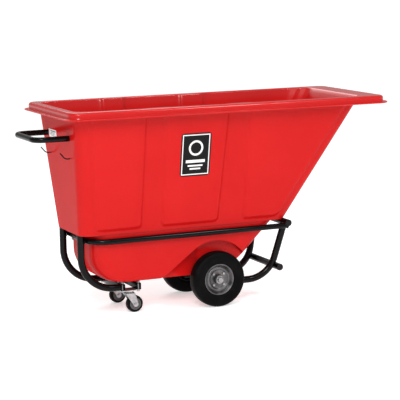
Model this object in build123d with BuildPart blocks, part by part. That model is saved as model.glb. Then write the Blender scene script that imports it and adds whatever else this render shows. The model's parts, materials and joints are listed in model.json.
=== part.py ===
from build123d import *
import os
from math import atan, cos, pi, sin, sqrt, tan

# Tilt truck: a rotomoulded hopper on a bent-tube frame with two big wheels and two casters.
# Millimetres. +X is forward (the pouring lip), +Y is left, +Z is up.
# The origin is on the floor, midway between the pouring lip and the back of the handle.

os.makedirs("parts", exist_ok=True)

# ---- overall ----
# distances along the truck are from the big wheels' axle, forwards or to the rear as named
rim_top = 930.0
seat_z = 372.0
weld_bite = 1.0
gap = 0.3

# ---- hopper ----
wall = 6.0
hopper_rear = 645.0
hopper_front = 356.0
rear_wall_lean = 4.6
side_wall_lean = 10.0
front_wall_angle = 58.0
side_over_rail = 12.0
upper_corner = 48.0
front_flange = 122.0
rear_flange = 55.0
side_flange = 50.0
rim_height = 34.0
rim_corner = 70.0
lip_width = 20.0
rim_shoulder = 12.0
hopper_bottom = 146.0
front_ledge = 47.0
lower_side_taper = 8.0
lower_front_angle = 45.0
lower_front_radius = 300.0
lower_rear_radius = 130.0
lower_edge_radius = 24.0
lower_steps = 9
panel_proud = 12.0
panel_lift = 12.0
panel_corner = 26.0
panel_front_margin = 56.0
panel_rear_margin = 51.0
rear_channel = (-357.0, -280.0)
front_channel = (39.0, 120.0)
front_channel_flare = 26.0
arch_clearance = 48.0
arch_gap = 12.0
arch_flare_length = 210.0
arch_flare_angle = 37.0

# ---- frame tubes ----
frame_tube = 31.75
rail_tube = 25.4
tube_wall = 2.4
rail_drop = 16.0
rail_half_width = 182.0
rail_clearance = 4.0
hoop_corner = 85.0
hoop_inset = 42.0
cross_tube_inset = 1.5
rear_bow_y = 117.0
rear_bow_tail = 28.0
post_to_caster = 226.6
bow_to_tyre = 10.0
front_bow_top_y = 152.0
front_bow_radius = 130.0
front_bow_leg_run = 65.0
front_bow_stop = 3.0
front_bow_tail = 36.0
tip_bar_z = 145.0
tip_bar_half = 156.0
plug_cap = 4.0
plug_round = 2.8
plug_depth = 12.0

# ---- big wheels ----
wheel_diameter = 254.0
wheel_track_half = 175.0
tyre_width = 70.0
tyre_shoulder = 14.0
rim_radius = 69.0
rim_half_gap = 14.0
rim_sheet = 2.5
rim_flange_y = 25.0
rim_ring_radius = 50.0
rim_ring_height = 4.0
hub_length = 60.0
hub_wall = 3.0
bearing_radius = 17.5
bearing_width = 11.0
axle_diameter = 15.875
running = 0.05
rim_bolt_circle = 35.0
rim_bolt_count = 4
rim_bolt_radius = 3.0
washer_thickness = 2.0
cap_length = 13.0
cap_radius = 13.5
cap_round = 5.8
saddle_length = 44.0
saddle_web = 9.2
saddle_top = 6.0

# ---- casters ----
caster_y = 105.0
caster_wheel_diameter = 76.0
caster_wheel_width = 32.0
caster_trail = 25.0
plate_thickness = 4.0
plate_length = 92.0
plate_width = 60.0
plate_bolt_dx = 38.0
plate_bolt_dy = 21.0
plate_bolt_radius = 4.0
plate_bolt_end = 1.0
hole_clearance = 0.5
boss_radius = 23.0
boss_height = 7.0
ball_radius = 2.2
ball_play = 0.1
ball_circle = 19.0
ball_count = 14
crown_over_wheel = 10.4
crown_radius = 26.0
crown_thickness = 4.0
fork_shoulder = 23.4
kingpin_head_radius = 9.0
fork_sheet = 3.0
fork_gap = 2.0
fork_eye = 12.0
kingpin_radius = 6.0
caster_axle_radius = 4.0
core_radius = 26.0
bush_radius = 7.0
core_wall = 3.5
core_dish = 4.0
core_draft = 1.0
tread_fall = 4.0
tread_edge = 6.0
beam_depth = 20.0
beam_height = 30.0
beam_wall = 2.0

# ---- handle and hooks ----
handle_z = 805.0
handle_leg_y = 140.0
handle_corner = 45.0
handle_reach = 165.0
insert_length = 30.0
handle_bolt_radius = 5.0
handle_bolt_length = 34.0
handle_washer_radius = 12.0
hook_y = 129.0
hook_z = 715.0
hook_wire = 5.0
hook_reach = 46.0
hook_rise = 27.0
hook_nut = 4.0

# ---- fasteners that hold the hopper ----
hopper_bolt_radius = 4.0
rear_bolt_y = 62.0
front_bolt_y = 92.0
front_bolt_inset = 19.7
button_radius = 8.8
button_taper = 30.0
tab_thickness = 4.0
tab_width = 44.0

# ---- stickers ----
sticker_thickness = 0.6
side_sticker_size = (144.0, 198.0)
side_sticker_corner = 14.0
side_sticker_z = 710.0
rear_sticker_size = (100.0, 36.0)
rear_sticker_corner = 4.0
rear_sticker_place = (73.0, 806.0)

# ---- proportions of hexagon heads and nuts, as shares of the bolt's radius ----
hex_corner = 1.8
head_height = 1.2
nut_thickness = 1.6

# ---- worked out from the sizes above ----
front_slope = front_wall_angle * pi / 180
lower_slope = lower_front_angle * pi / 180
rear_lean = rear_wall_lean * pi / 180
side_lean = side_wall_lean * pi / 180
lip_front = hopper_front + (rim_top - seat_z) / tan(front_slope) + front_flange
lip_rear = hopper_rear + (rim_top - seat_z) * tan(rear_lean) + rear_flange
handle_back = hopper_rear + (handle_z - seat_z) * tan(rear_lean) + handle_reach
overall_length = lip_front + handle_back
axle_x = (handle_back - lip_front) / 2
lip_front_x = axle_x + lip_front
lip_rear_x = axle_x - lip_rear
lip_centre_x = (lip_front_x + lip_rear_x) / 2
rim_length = lip_front + lip_rear
handle_rear_x = axle_x - handle_back
rim_under = rim_top - rim_height
rear_wall_seat_x = axle_x - hopper_rear
front_wall_seat_x = axle_x + hopper_front
lower_front_x = front_wall_seat_x - front_ledge
hoop_rear_x = rear_wall_seat_x + hoop_inset
cross_tube_x = front_wall_seat_x - cross_tube_inset
side_seat = rail_half_width - side_over_rail
lip_half_width = side_seat + (rim_top - seat_z) * tan(side_lean) + panel_proud + side_flange
lower_rear_x = hoop_rear_x + rail_tube / 2 + rail_clearance
lower_side_seat = rail_half_width - rail_tube / 2 - rail_clearance
lower_corner = hoop_corner - rail_tube / 2 - rail_clearance
lower_corner_x = lower_front_x - (seat_z - hopper_bottom) / tan(lower_slope)
cross_tube_half = rail_half_width + rail_tube / 2
cone_inner = rim_radius - 4 * rim_sheet
cone_outer = rim_radius - rim_sheet
axle_z = wheel_diameter / 2
axle_radius = axle_diameter / 2
panel_bottom = seat_z + panel_lift
tyre_inner_y = wheel_track_half - tyre_width / 2
arch_radius = wheel_diameter / 2 + arch_clearance
arch_back_y = tyre_inner_y - arch_gap
rail_z = seat_z - rail_drop - rail_tube / 2
cross_tube_z = seat_z - frame_tube / 2
post_x = hoop_rear_x - (rail_tube + frame_tube) / 2 + weld_bite
front_bow_y = tyre_inner_y - bow_to_tyre - frame_tube / 2
front_bow_z = axle_z - axle_radius - saddle_web - frame_tube / 2
front_bow_knee_x = cross_tube_x - front_bow_leg_run
bow_tilt = atan((front_bow_top_y - front_bow_y) / (cross_tube_z - front_bow_z))
leg_height = (cross_tube_z - front_bow_z) / cos(bow_tilt)
leg_angle = atan(leg_height / front_bow_leg_run)
leg_end_x = cross_tube_x - axle_x - front_bow_stop * cos(leg_angle)
leg_end_rise = leg_height - front_bow_stop * sin(leg_angle)
bend_x = front_bow_knee_x - front_bow_radius * tan(leg_angle / 2)
bend_z = front_bow_z + front_bow_radius * cos(bow_tilt)
tip_bar_reach = front_bow_radius + frame_tube - weld_bite
tip_bar_x = bend_x + sqrt(tip_bar_reach ** 2 - (bend_z - tip_bar_z) ** 2)
caster_x = post_x + post_to_caster
crown_z = caster_wheel_diameter + crown_over_wheel
crown_top = crown_z + crown_thickness
plate_z = crown_top + 2 * (ball_radius + ball_play) + boss_height
plate_top_z = plate_z + plate_thickness
beam_z = plate_top_z + beam_height / 2
beam_half_length = caster_y + plate_width / 2
rear_bow_z = beam_z
rear_bow_end_x = caster_x - plate_bolt_dx - beam_depth / 2
rear_bow_radius = rear_bow_end_x - rear_bow_tail - post_x
caster_axle_z = caster_wheel_diameter / 2
tab_length = front_ledge - cross_tube_inset - rail_clearance
tab_x = cross_tube_x - tab_length / 2
front_bolt_x = lower_front_x + front_bolt_inset
sides = (("left", 1), ("right", -1))


def save(shape, name):
    shape.label = name
    export_step(shape, f"parts/{name}.step")


def rear_wall_x(z):
    return rear_wall_seat_x - (z - seat_z) * tan(rear_lean)


def side_y(z):
    return side_seat + (z - seat_z) * tan(side_lean)


# ---- hopper ----
def upper_section(z, inset):
    # the tub above its ledge: a rounded rectangle that grows with height on all four walls
    rear = rear_wall_x(z) + inset / cos(rear_lean)
    front = front_wall_seat_x + (z - seat_z) / tan(front_slope) - inset / sin(front_slope)
    with BuildSketch(Plane.XY.offset(z)) as section:
        with Locations(((rear + front) / 2, 0)):
            RectangleRounded(front - rear, 2 * (side_y(z) - inset), upper_corner - inset)
    return section.sketch


def quarter(radius, rise):
    # how far an upright wall has been carried in by the round at its foot
    left = max(radius - rise, 0)
    return radius - sqrt(radius ** 2 - left ** 2)


def lower_section(z, inset):
    # the tub below its ledge: round at the back, sloped with a long sweep at the front
    rise = z - hopper_bottom - inset
    rear_foot = lower_rear_radius - inset
    edge_foot = lower_edge_radius - inset
    rear = lower_rear_x + inset + quarter(rear_foot, rise)
    sweep = lower_front_radius - inset
    corner_x = lower_corner_x - inset / sin(lower_slope) + inset / tan(lower_slope)
    if rise < sweep * (1 - cos(lower_slope)):
        front = corner_x - sweep * tan(lower_slope / 2) + sqrt(sweep ** 2 - (sweep - rise) ** 2)
    else:
        front = corner_x + rise / tan(lower_slope)
    share = (seat_z - z) / (seat_z - hopper_bottom)
    half = lower_side_seat - share * lower_side_taper - inset
    half = half - quarter(edge_foot, rise)
    with BuildSketch(Plane.XY.offset(z)) as section:
        with Locations(((rear + front) / 2, 0)):
            RectangleRounded(front - rear, 2 * half, lower_corner - inset)
    return section.sketch


def panel_outlines(top):
    # the three raised panels of a side, seen from the side
    slope_run = (top - panel_bottom) / tan(front_slope)
    lean_run = (top - panel_bottom) * tan(rear_lean)
    rear_foot = rear_wall_seat_x + panel_rear_margin
    front_foot = front_wall_seat_x + panel_lift / tan(front_slope) - panel_front_margin
    first, second = axle_x + rear_channel[0], axle_x + rear_channel[1]
    third, fourth = axle_x + front_channel[0], axle_x + front_channel[1]
    rear_panel = ((rear_foot, panel_bottom), (first, panel_bottom), (first, top), (rear_foot - lean_run, top))
    middle_panel = ((second, panel_bottom), (third - front_channel_flare, panel_bottom), (third, top),
                    (second, top))
    front_panel = ((fourth, panel_bottom), (front_foot, panel_bottom), (front_foot + slope_run, top),
                   (fourth, top))
    return rear_panel, middle_panel, front_panel


def panels(inset, top):
    with BuildPart() as raised:
        for corners in panel_outlines(top):
            with BuildSketch(Plane.XZ) as outline:
                with BuildLine():
                    Polyline(*corners, close=True)
                make_face()
                fillet(outline.vertices().group_by(Axis.Y)[0], panel_corner)
                if inset:
                    offset(amount=-inset, kind=Kind.INTERSECTION, mode=Mode.REPLACE)
            extrude(amount=2 * lip_half_width, both=True)
        proud = panel_proud - inset
        low = side_y(panel_bottom - wall) + proud
        high = side_y(top) + proud
        with BuildSketch(Plane.YZ):
            with BuildLine():
                Polyline((-low, panel_bottom - wall), (low, panel_bottom - wall), (high, top), (-high, top),
                         close=True)
            make_face()
        extrude(amount=overall_length, both=True, mode=Mode.INTERSECT)
    return raised.part


def wheel_arches(inset):
    # round over the tyre, then a straight flare to the rear
    flare_run = arch_flare_length * cos(arch_flare_angle * pi / 180)
    flare_drop = arch_flare_length * sin(arch_flare_angle * pi / 180)
    start_x = axle_x - arch_radius * sin(arch_flare_angle * pi / 180)
    start_z = axle_z + arch_radius * cos(arch_flare_angle * pi / 180)
    with BuildPart() as arches:
        with BuildSketch(Plane.XZ):
            with Locations((axle_x, axle_z)):
                Circle(arch_radius)
            with BuildLine():
                Polyline((start_x, start_z), (start_x - flare_run, start_z - flare_drop),
                         (axle_x, start_z - flare_drop), (axle_x, start_z), close=True)
            make_face()
            if inset:
                offset(amount=inset, kind=Kind.INTERSECTION, mode=Mode.REPLACE)
        extrude(amount=2 * lip_half_width, both=True)
        with Locations((axle_x, 0, axle_z)):
            Box(overall_length, 2 * (arch_back_y - inset), overall_length, mode=Mode.SUBTRACT)
    return arches.part


def tub(inset, top):
    with BuildPart() as body:
        loft([upper_section(seat_z + inset, inset), upper_section(top, inset)], ruled=True)
    with BuildPart() as lower:
        floor = hopper_bottom + inset
        levels = [floor + (seat_z - hopper_bottom) * (n / lower_steps) ** 2 for n in range(lower_steps + 1)]
        loft([lower_section(z, inset) for z in levels], ruled=True)
    with BuildPart() as whole:
        add(body.part)
        add(lower.part)
        add(panels(inset, top))
        add(wheel_arches(inset), mode=Mode.SUBTRACT)
    return whole.part


def rim_outline(inset, corner, mode=Mode.ADD):
    with Locations((lip_centre_x, 0)):
        RectangleRounded(rim_length - 2 * inset, 2 * (lip_half_width - inset), corner, mode=mode)


def rim():
    # flat flange, rounded shoulder, short skirt and a thin lip turned out at its foot
    with BuildPart() as band:
        with BuildSketch(Plane.XY.offset(rim_under)):
            rim_outline(lip_width, rim_corner - lip_width)
        extrude(amount=rim_height)
        fillet(band.faces().sort_by(Axis.Z)[-1].edges(), rim_shoulder)
        with BuildSketch(Plane.XY.offset(rim_under)):
            rim_outline(lip_width + wall, rim_corner - lip_width - wall)
        extrude(amount=rim_height - wall, mode=Mode.SUBTRACT)
        with BuildSketch(Plane.XY.offset(rim_under)):
            rim_outline(0, rim_corner)
            rim_outline(lip_width + wall / 2, rim_corner - lip_width - wall / 2, mode=Mode.SUBTRACT)
        extrude(amount=wall)
    return band.part


def round_holes(places, radius, length):
    # upright cylinders used to cut bolt holes
    with BuildPart() as cutters:
        with Locations(*places):
            Cylinder(radius, length)
    return cutters.part


rear_bolt_places = [(hoop_rear_x, sign * rear_bolt_y, seat_z) for side, sign in sides]
front_bolt_places = [(front_bolt_x, sign * front_bolt_y, seat_z) for side, sign in sides]
hopper_hole = hopper_bolt_radius + hole_clearance


def wall_plane(y, z):
    # on the hopper's leaning rear wall, normal pointing out of it
    return Plane(origin=(rear_wall_x(z), y, z), x_dir=(0, 1, 0), z_dir=(-cos(rear_lean), 0, -sin(rear_lean)))


wall_at_handle = rear_wall_x(handle_z)
hook_wall_x = rear_wall_x(hook_z)

with BuildPart() as hopper:
    add(tub(0, rim_top))
    add(rim())
    add(tub(wall, rim_top + wall), mode=Mode.SUBTRACT)
    add(round_holes(rear_bolt_places + front_bolt_places, hopper_hole, 6 * wall), mode=Mode.SUBTRACT)
    with BuildSketch(Plane.YZ.offset(wall_at_handle)):
        with Locations((handle_leg_y, handle_z), (-handle_leg_y, handle_z)):
            Circle(handle_bolt_radius + hole_clearance)
        with Locations((hook_y, hook_z), (-hook_y, hook_z)):
            Circle(hook_wire / 2 + hole_clearance)
    extrude(amount=4 * wall, both=True, mode=Mode.SUBTRACT)
save(hopper.part, "hopper")


# ---- frame ----
def swept_tube(route, diameter, thickness):
    with BuildPart() as tube:
        with BuildSketch(Plane(origin=route @ 0, z_dir=route % 0)):
            Circle(diameter / 2)
            Circle(diameter / 2 - thickness, mode=Mode.SUBTRACT)
        sweep(path=route)
    return tube.part


def solid_bar(x, z, half_length, diameter):
    with BuildPart() as bar:
        with BuildSketch(Plane.XZ):
            with Locations((x, z)):
                Circle(diameter / 2)
        extrude(amount=half_length, both=True)
    return bar.part


def straight_tube(x, z, half_length):
    with BuildPart() as tube:
        add(solid_bar(x, z, half_length, frame_tube))
        add(solid_bar(x, z, half_length, frame_tube - 2 * tube_wall), mode=Mode.SUBTRACT)
    return tube.part


cross_core = solid_bar(cross_tube_x, cross_tube_z, cross_tube_half, frame_tube)
tip_core = solid_bar(tip_bar_x, tip_bar_z, tip_bar_half, frame_tube)

save(straight_tube(cross_tube_x, cross_tube_z, cross_tube_half), "top_cross_tube")
save(straight_tube(tip_bar_x, tip_bar_z, tip_bar_half), "tip_bar")

with BuildLine(Plane.XY.offset(rail_z)) as hoop_route:
    FilletPolyline((cross_tube_x, rail_half_width), (hoop_rear_x, rail_half_width),
                   (hoop_rear_x, -rail_half_width), (cross_tube_x, -rail_half_width), radius=hoop_corner)
with BuildPart() as hoop_rail:
    add(swept_tube(hoop_route.wire(), rail_tube, tube_wall))
    add(cross_core, mode=Mode.SUBTRACT)
    add(round_holes(rear_bolt_places, hopper_hole, 4 * rail_tube), mode=Mode.SUBTRACT)
save(hoop_rail.part, "hoop_rail")

with BuildPart() as hoop_core:
    with BuildSketch(Plane(origin=hoop_route.wire() @ 0, z_dir=hoop_route.wire() % 0)):
        Circle(rail_tube / 2)
    sweep(path=hoop_route.wire())

for side, sign in sides:
    with BuildLine(Plane.XZ.offset(-sign * rear_bow_y)) as rear_route:
        FilletPolyline((post_x, seat_z), (post_x, rear_bow_z), (rear_bow_end_x, rear_bow_z),
                       radius=rear_bow_radius)
    with BuildPart() as rear_bow:
        add(swept_tube(rear_route.wire(), frame_tube, tube_wall))
        add(hoop_core.part, mode=Mode.SUBTRACT)
    save(rear_bow.part, f"rear_bow_{side}")

    bow_plane = Plane(origin=(axle_x, sign * front_bow_y, front_bow_z), x_dir=(1, 0, 0),
                      z_dir=(0, -cos(bow_tilt), sign * sin(bow_tilt)))
    # the leg stops just short of the cross tube's axis, and the cope shapes its end
    with BuildLine(bow_plane) as front_route:
        FilletPolyline((-front_bow_tail, 0), (front_bow_knee_x - axle_x, 0),
                       (leg_end_x, leg_end_rise), radius=front_bow_radius)
    with BuildPart() as front_bow:
        add(swept_tube(front_route.wire(), frame_tube, tube_wall))
        add(cross_core, mode=Mode.SUBTRACT)
        add(tip_core, mode=Mode.SUBTRACT)
    save(front_bow.part, f"front_bow_{side}")


def tube_plug(origin, direction):
    # a domed plastic plug pushed into an open tube end
    with BuildPart() as plug:
        with BuildSketch(Plane(origin=origin, z_dir=direction)):
            Circle(frame_tube / 2)
        extrude(amount=plug_cap)
        fillet(plug.faces().sort_by(Axis(origin, direction))[-1].edges(), plug_round)
        with BuildSketch(Plane(origin=origin, z_dir=direction)):
            Circle(frame_tube / 2 - tube_wall)
        extrude(amount=-plug_depth)
    return plug.part


with BuildPart() as tube_plugs:
    for side, sign in sides:
        add(tube_plug((cross_tube_x, sign * cross_tube_half, cross_tube_z), (0, sign, 0)))
        add(tube_plug((tip_bar_x, sign * tip_bar_half, tip_bar_z), (0, sign, 0)))
        add(tube_plug((axle_x - front_bow_tail, sign * front_bow_y, front_bow_z), (-1, 0, 0)))
save(tube_plugs.part, "tube_plugs")

plate_bolt_spots = [(dx, dy) for dx in (-plate_bolt_dx, plate_bolt_dx)
                    for dy in (-plate_bolt_dy, plate_bolt_dy)]
plate_bolt_hole = plate_bolt_radius + hole_clearance

for name, dx in (("caster_beam_rear", -plate_bolt_dx), ("caster_beam_front", plate_bolt_dx)):
    with BuildPart() as beam:
        with BuildSketch(Plane.XZ):
            with Locations((caster_x + dx, beam_z)):
                RectangleRounded(beam_depth, beam_height, beam_wall)
                Rectangle(beam_depth - 2 * beam_wall, beam_height - 2 * beam_wall, mode=Mode.SUBTRACT)
        extrude(amount=beam_half_length, both=True)
        for side, sign in sides:
            with Locations((caster_x + dx, sign * caster_y - plate_bolt_dy, beam_z),
                           (caster_x + dx, sign * caster_y + plate_bolt_dy, beam_z)):
                Cylinder(plate_bolt_hole, 2 * beam_height, mode=Mode.SUBTRACT)
    save(beam.part, name)

# ---- axle and what holds it ----
saddle_width = frame_tube
hub_inner_y = wheel_track_half - hub_length / 2
hub_outer_y = wheel_track_half + hub_length / 2
washer_y = hub_outer_y + gap
axle_half = washer_y + washer_thickness + cap_length - tube_wall
axle_core = solid_bar(axle_x, axle_z, axle_half, axle_diameter)
save(axle_core, "axle")


def ring(outer, inner, start, length, sign):
    # a collar round the axle, from start outwards along Y
    with BuildPart() as collar:
        with BuildSketch(Plane.XZ.offset(-sign * (start + length / 2))):
            with Locations((axle_x, axle_z)):
                Circle(outer)
                Circle(inner, mode=Mode.SUBTRACT)
        extrude(amount=length / 2, both=True)
    return collar.part


for side, sign in sides:
    with BuildPart() as saddle:
        with BuildSketch(Plane.XZ.offset(-sign * front_bow_y)):
            with BuildLine():
                Polyline((axle_x - saddle_length / 2, front_bow_z), (axle_x + saddle_length / 2, front_bow_z),
                         (axle_x + saddle_length / 2, axle_z - axle_radius),
                         (axle_x + axle_radius + saddle_top, axle_z + axle_radius + saddle_top),
                         (axle_x - axle_radius - saddle_top, axle_z + axle_radius + saddle_top),
                         (axle_x - saddle_length / 2, axle_z - axle_radius), close=True)
            make_face()
        extrude(amount=saddle_width / 2 - gap, both=True)
        add(axle_core, mode=Mode.SUBTRACT)
        with BuildSketch(Plane.YZ.offset(axle_x)):
            with Locations((sign * front_bow_y, front_bow_z)):
                Circle(frame_tube / 2)
        extrude(amount=saddle_length, both=True, mode=Mode.SUBTRACT)
    save(saddle.part, f"axle_saddle_{side}")

with BuildPart() as axle_spacers:
    for side, sign in sides:
        spacer_start = front_bow_y + saddle_width / 2
        add(ring(axle_radius + rim_sheet, axle_radius, spacer_start, hub_inner_y - gap - spacer_start, sign))
save(axle_spacers.part, "axle_spacers")

with BuildPart() as axle_washers:
    for side, sign in sides:
        add(ring(cap_radius + rim_sheet, axle_radius, washer_y, washer_thickness, sign))
save(axle_washers.part, "axle_washers")


def axle_cap(sign):
    # a pressed cap pushed over the axle's end, against the washer
    with BuildPart() as cap:
        with BuildSketch(Plane.XZ.offset(-sign * (washer_y + washer_thickness))):
            with Locations((axle_x, axle_z)):
                Circle(cap_radius)
        extrude(amount=-sign * cap_length)
        fillet(cap.faces().sort_by(Axis.Y)[-1 if sign > 0 else 0].edges(), cap_round)
        add(axle_core, mode=Mode.SUBTRACT)
    return cap.part


with BuildPart() as axle_caps:
    for side, sign in sides:
        add(axle_cap(sign))
save(axle_caps.part, "axle_caps")


# ---- big wheels ----
def wheel_ring(profile, sign, at_y):
    # profile points are (radius, distance outwards from the wheel's middle plane)
    with BuildPart() as turned:
        with BuildSketch(Plane(origin=(axle_x, at_y, axle_z), x_dir=(1, 0, 0), z_dir=(0, 0, -sign))):
            with BuildLine():
                Polyline(*profile, close=True)
            make_face()
        revolve(axis=Axis((axle_x, 0, axle_z), (0, 1, 0)))
    return turned.part


def rim_half_profile(outward):
    # pressed sheet: disc, raised ring, cone and the flange that holds the tyre's bead
    bore = bearing_radius + hub_wall
    ring_in = rim_ring_radius - rim_ring_height
    ring_out = rim_ring_radius + rim_ring_height
    skin = [(bore, rim_half_gap), (ring_in - rim_ring_height, rim_half_gap),
            (ring_in, rim_half_gap + rim_ring_height), (ring_out, rim_half_gap + rim_ring_height),
            (ring_out + rim_ring_height, rim_half_gap), (cone_inner, rim_half_gap),
            (cone_outer, rim_flange_y), (rim_radius + rim_sheet, rim_flange_y)]
    inner_skin = [(r, y - rim_sheet) for r, y in reversed(skin[:-1])]
    edge = [(rim_radius + rim_sheet, rim_flange_y - rim_sheet)]
    return [(r, outward * y) for r, y in skin + edge + inner_skin]


def tyre_profile():
    # the foot fills the groove between the two rim halves; the flanges hold its sides
    foot = cone_inner + rim_sheet
    steep = (rim_flange_y - rim_half_gap) / (cone_outer - cone_inner)
    foot_y = rim_half_gap - rim_sheet + (foot - cone_inner) * steep - 2 * gap
    bead_y = rim_flange_y - rim_sheet - gap
    bead = cone_outer + gap
    seat = rim_radius + rim_sheet + gap
    flank_y = tyre_width / 2 - tyre_shoulder / 2
    half = [(foot, foot_y), (bead, bead_y), (seat, bead_y), (seat, flank_y),
            (wheel_diameter / 2, tyre_width / 2)]
    return [(r, -y) for r, y in half] + list(reversed(half))


def rim_bolt_spots(y):
    spots = []
    for number in range(rim_bolt_count):
        turn = pi / rim_bolt_count + 2 * pi * number / rim_bolt_count
        spots.append((axle_x + rim_bolt_circle * cos(turn), y, axle_z + rim_bolt_circle * sin(turn)))
    return spots


for side, sign in sides:
    middle = sign * wheel_track_half
    with BuildPart() as tyre:
        wheel_plane = Plane(origin=(axle_x, middle, axle_z), x_dir=(1, 0, 0), z_dir=(0, 0, -sign))
        with BuildSketch(wheel_plane) as section:
            with BuildLine():
                Polyline(*tyre_profile(), close=True)
            make_face()
            fillet(section.vertices().group_by(Axis.X)[-1], tyre_shoulder)
        revolve(axis=Axis((axle_x, 0, axle_z), (0, 1, 0)))
    save(tyre.part, f"wheel_{side}_tyre")
    for half_name, outward in (("outer", 1), ("inner", -1)):
        with BuildPart() as rim_half:
            add(wheel_ring(rim_half_profile(outward), sign, middle))
            with Locations(*rim_bolt_spots(middle)):
                Cylinder(rim_bolt_radius + hole_clearance, tyre_width, rotation=(90, 0, 0),
                         mode=Mode.SUBTRACT)
        save(rim_half.part, f"wheel_{side}_rim_{half_name}")
    with BuildPart() as bearings:
        add(ring(bearing_radius, axle_radius + running, hub_inner_y, bearing_width, sign))
        add(ring(bearing_radius, axle_radius + running, hub_outer_y - bearing_width, bearing_width, sign))
    save(bearings.part, f"wheel_{side}_bearings")
    hub = ring(bearing_radius + hub_wall, bearing_radius, hub_inner_y, hub_length, sign)
    save(hub, f"wheel_{side}_hub")
    with BuildPart() as rim_bolts:
        bolt_half = rim_half_gap + rim_bolt_radius * 2
        with Locations(*rim_bolt_spots(middle)):
            Cylinder(rim_bolt_radius, 2 * bolt_half, rotation=(90, 0, 0))
        with Locations(*rim_bolt_spots(middle + rim_half_gap + rim_bolt_radius)):
            Cylinder(rim_bolt_radius * hex_corner, 2 * rim_bolt_radius, rotation=(90, 0, 0))
        with Locations(*rim_bolt_spots(middle - rim_half_gap - rim_bolt_radius)):
            Cylinder(rim_bolt_radius * hex_corner, 2 * rim_bolt_radius, rotation=(90, 0, 0))
    save(rim_bolts.part, f"wheel_{side}_rim_bolts")


# ---- casters ----
fork_half = caster_wheel_width / 2 + fork_gap
wheel_x = caster_x + caster_trail


def upright_disc(x, y, z, radius, height):
    with BuildPart() as disc:
        with BuildSketch(Plane.XY.offset(z)):
            with Locations((x, y)):
                Circle(radius)
        extrude(amount=height)
    return disc.part


def crosswise(x, y, z, profile):
    # a solid turned about a wheel's axle; points are (radius, distance outwards along Y)
    with BuildPart() as turned:
        with BuildSketch(Plane(origin=(x, y, z), x_dir=(1, 0, 0), z_dir=(0, 0, -1))):
            with BuildLine():
                Polyline(*profile, close=True)
            make_face()
        revolve(axis=Axis((x, y, z), (0, 1, 0)))
    return turned.part


def fork_leg(y):
    # one pressed leg: wide at the crown, round at the axle
    with BuildPart() as leg:
        with BuildSketch(Plane.XZ.offset(-y)):
            with BuildLine():
                Polyline((caster_x - fork_shoulder, crown_z + crown_thickness / 2),
                         (caster_x + fork_shoulder, crown_z + crown_thickness / 2),
                         (wheel_x + fork_eye, caster_axle_z), (wheel_x - fork_eye, caster_axle_z),
                         close=True)
            make_face()
            with Locations((wheel_x, caster_axle_z)):
                Circle(fork_eye)
                Circle(caster_axle_radius, mode=Mode.SUBTRACT)
        extrude(amount=fork_sheet / 2, both=True)
    return leg.part


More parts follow.
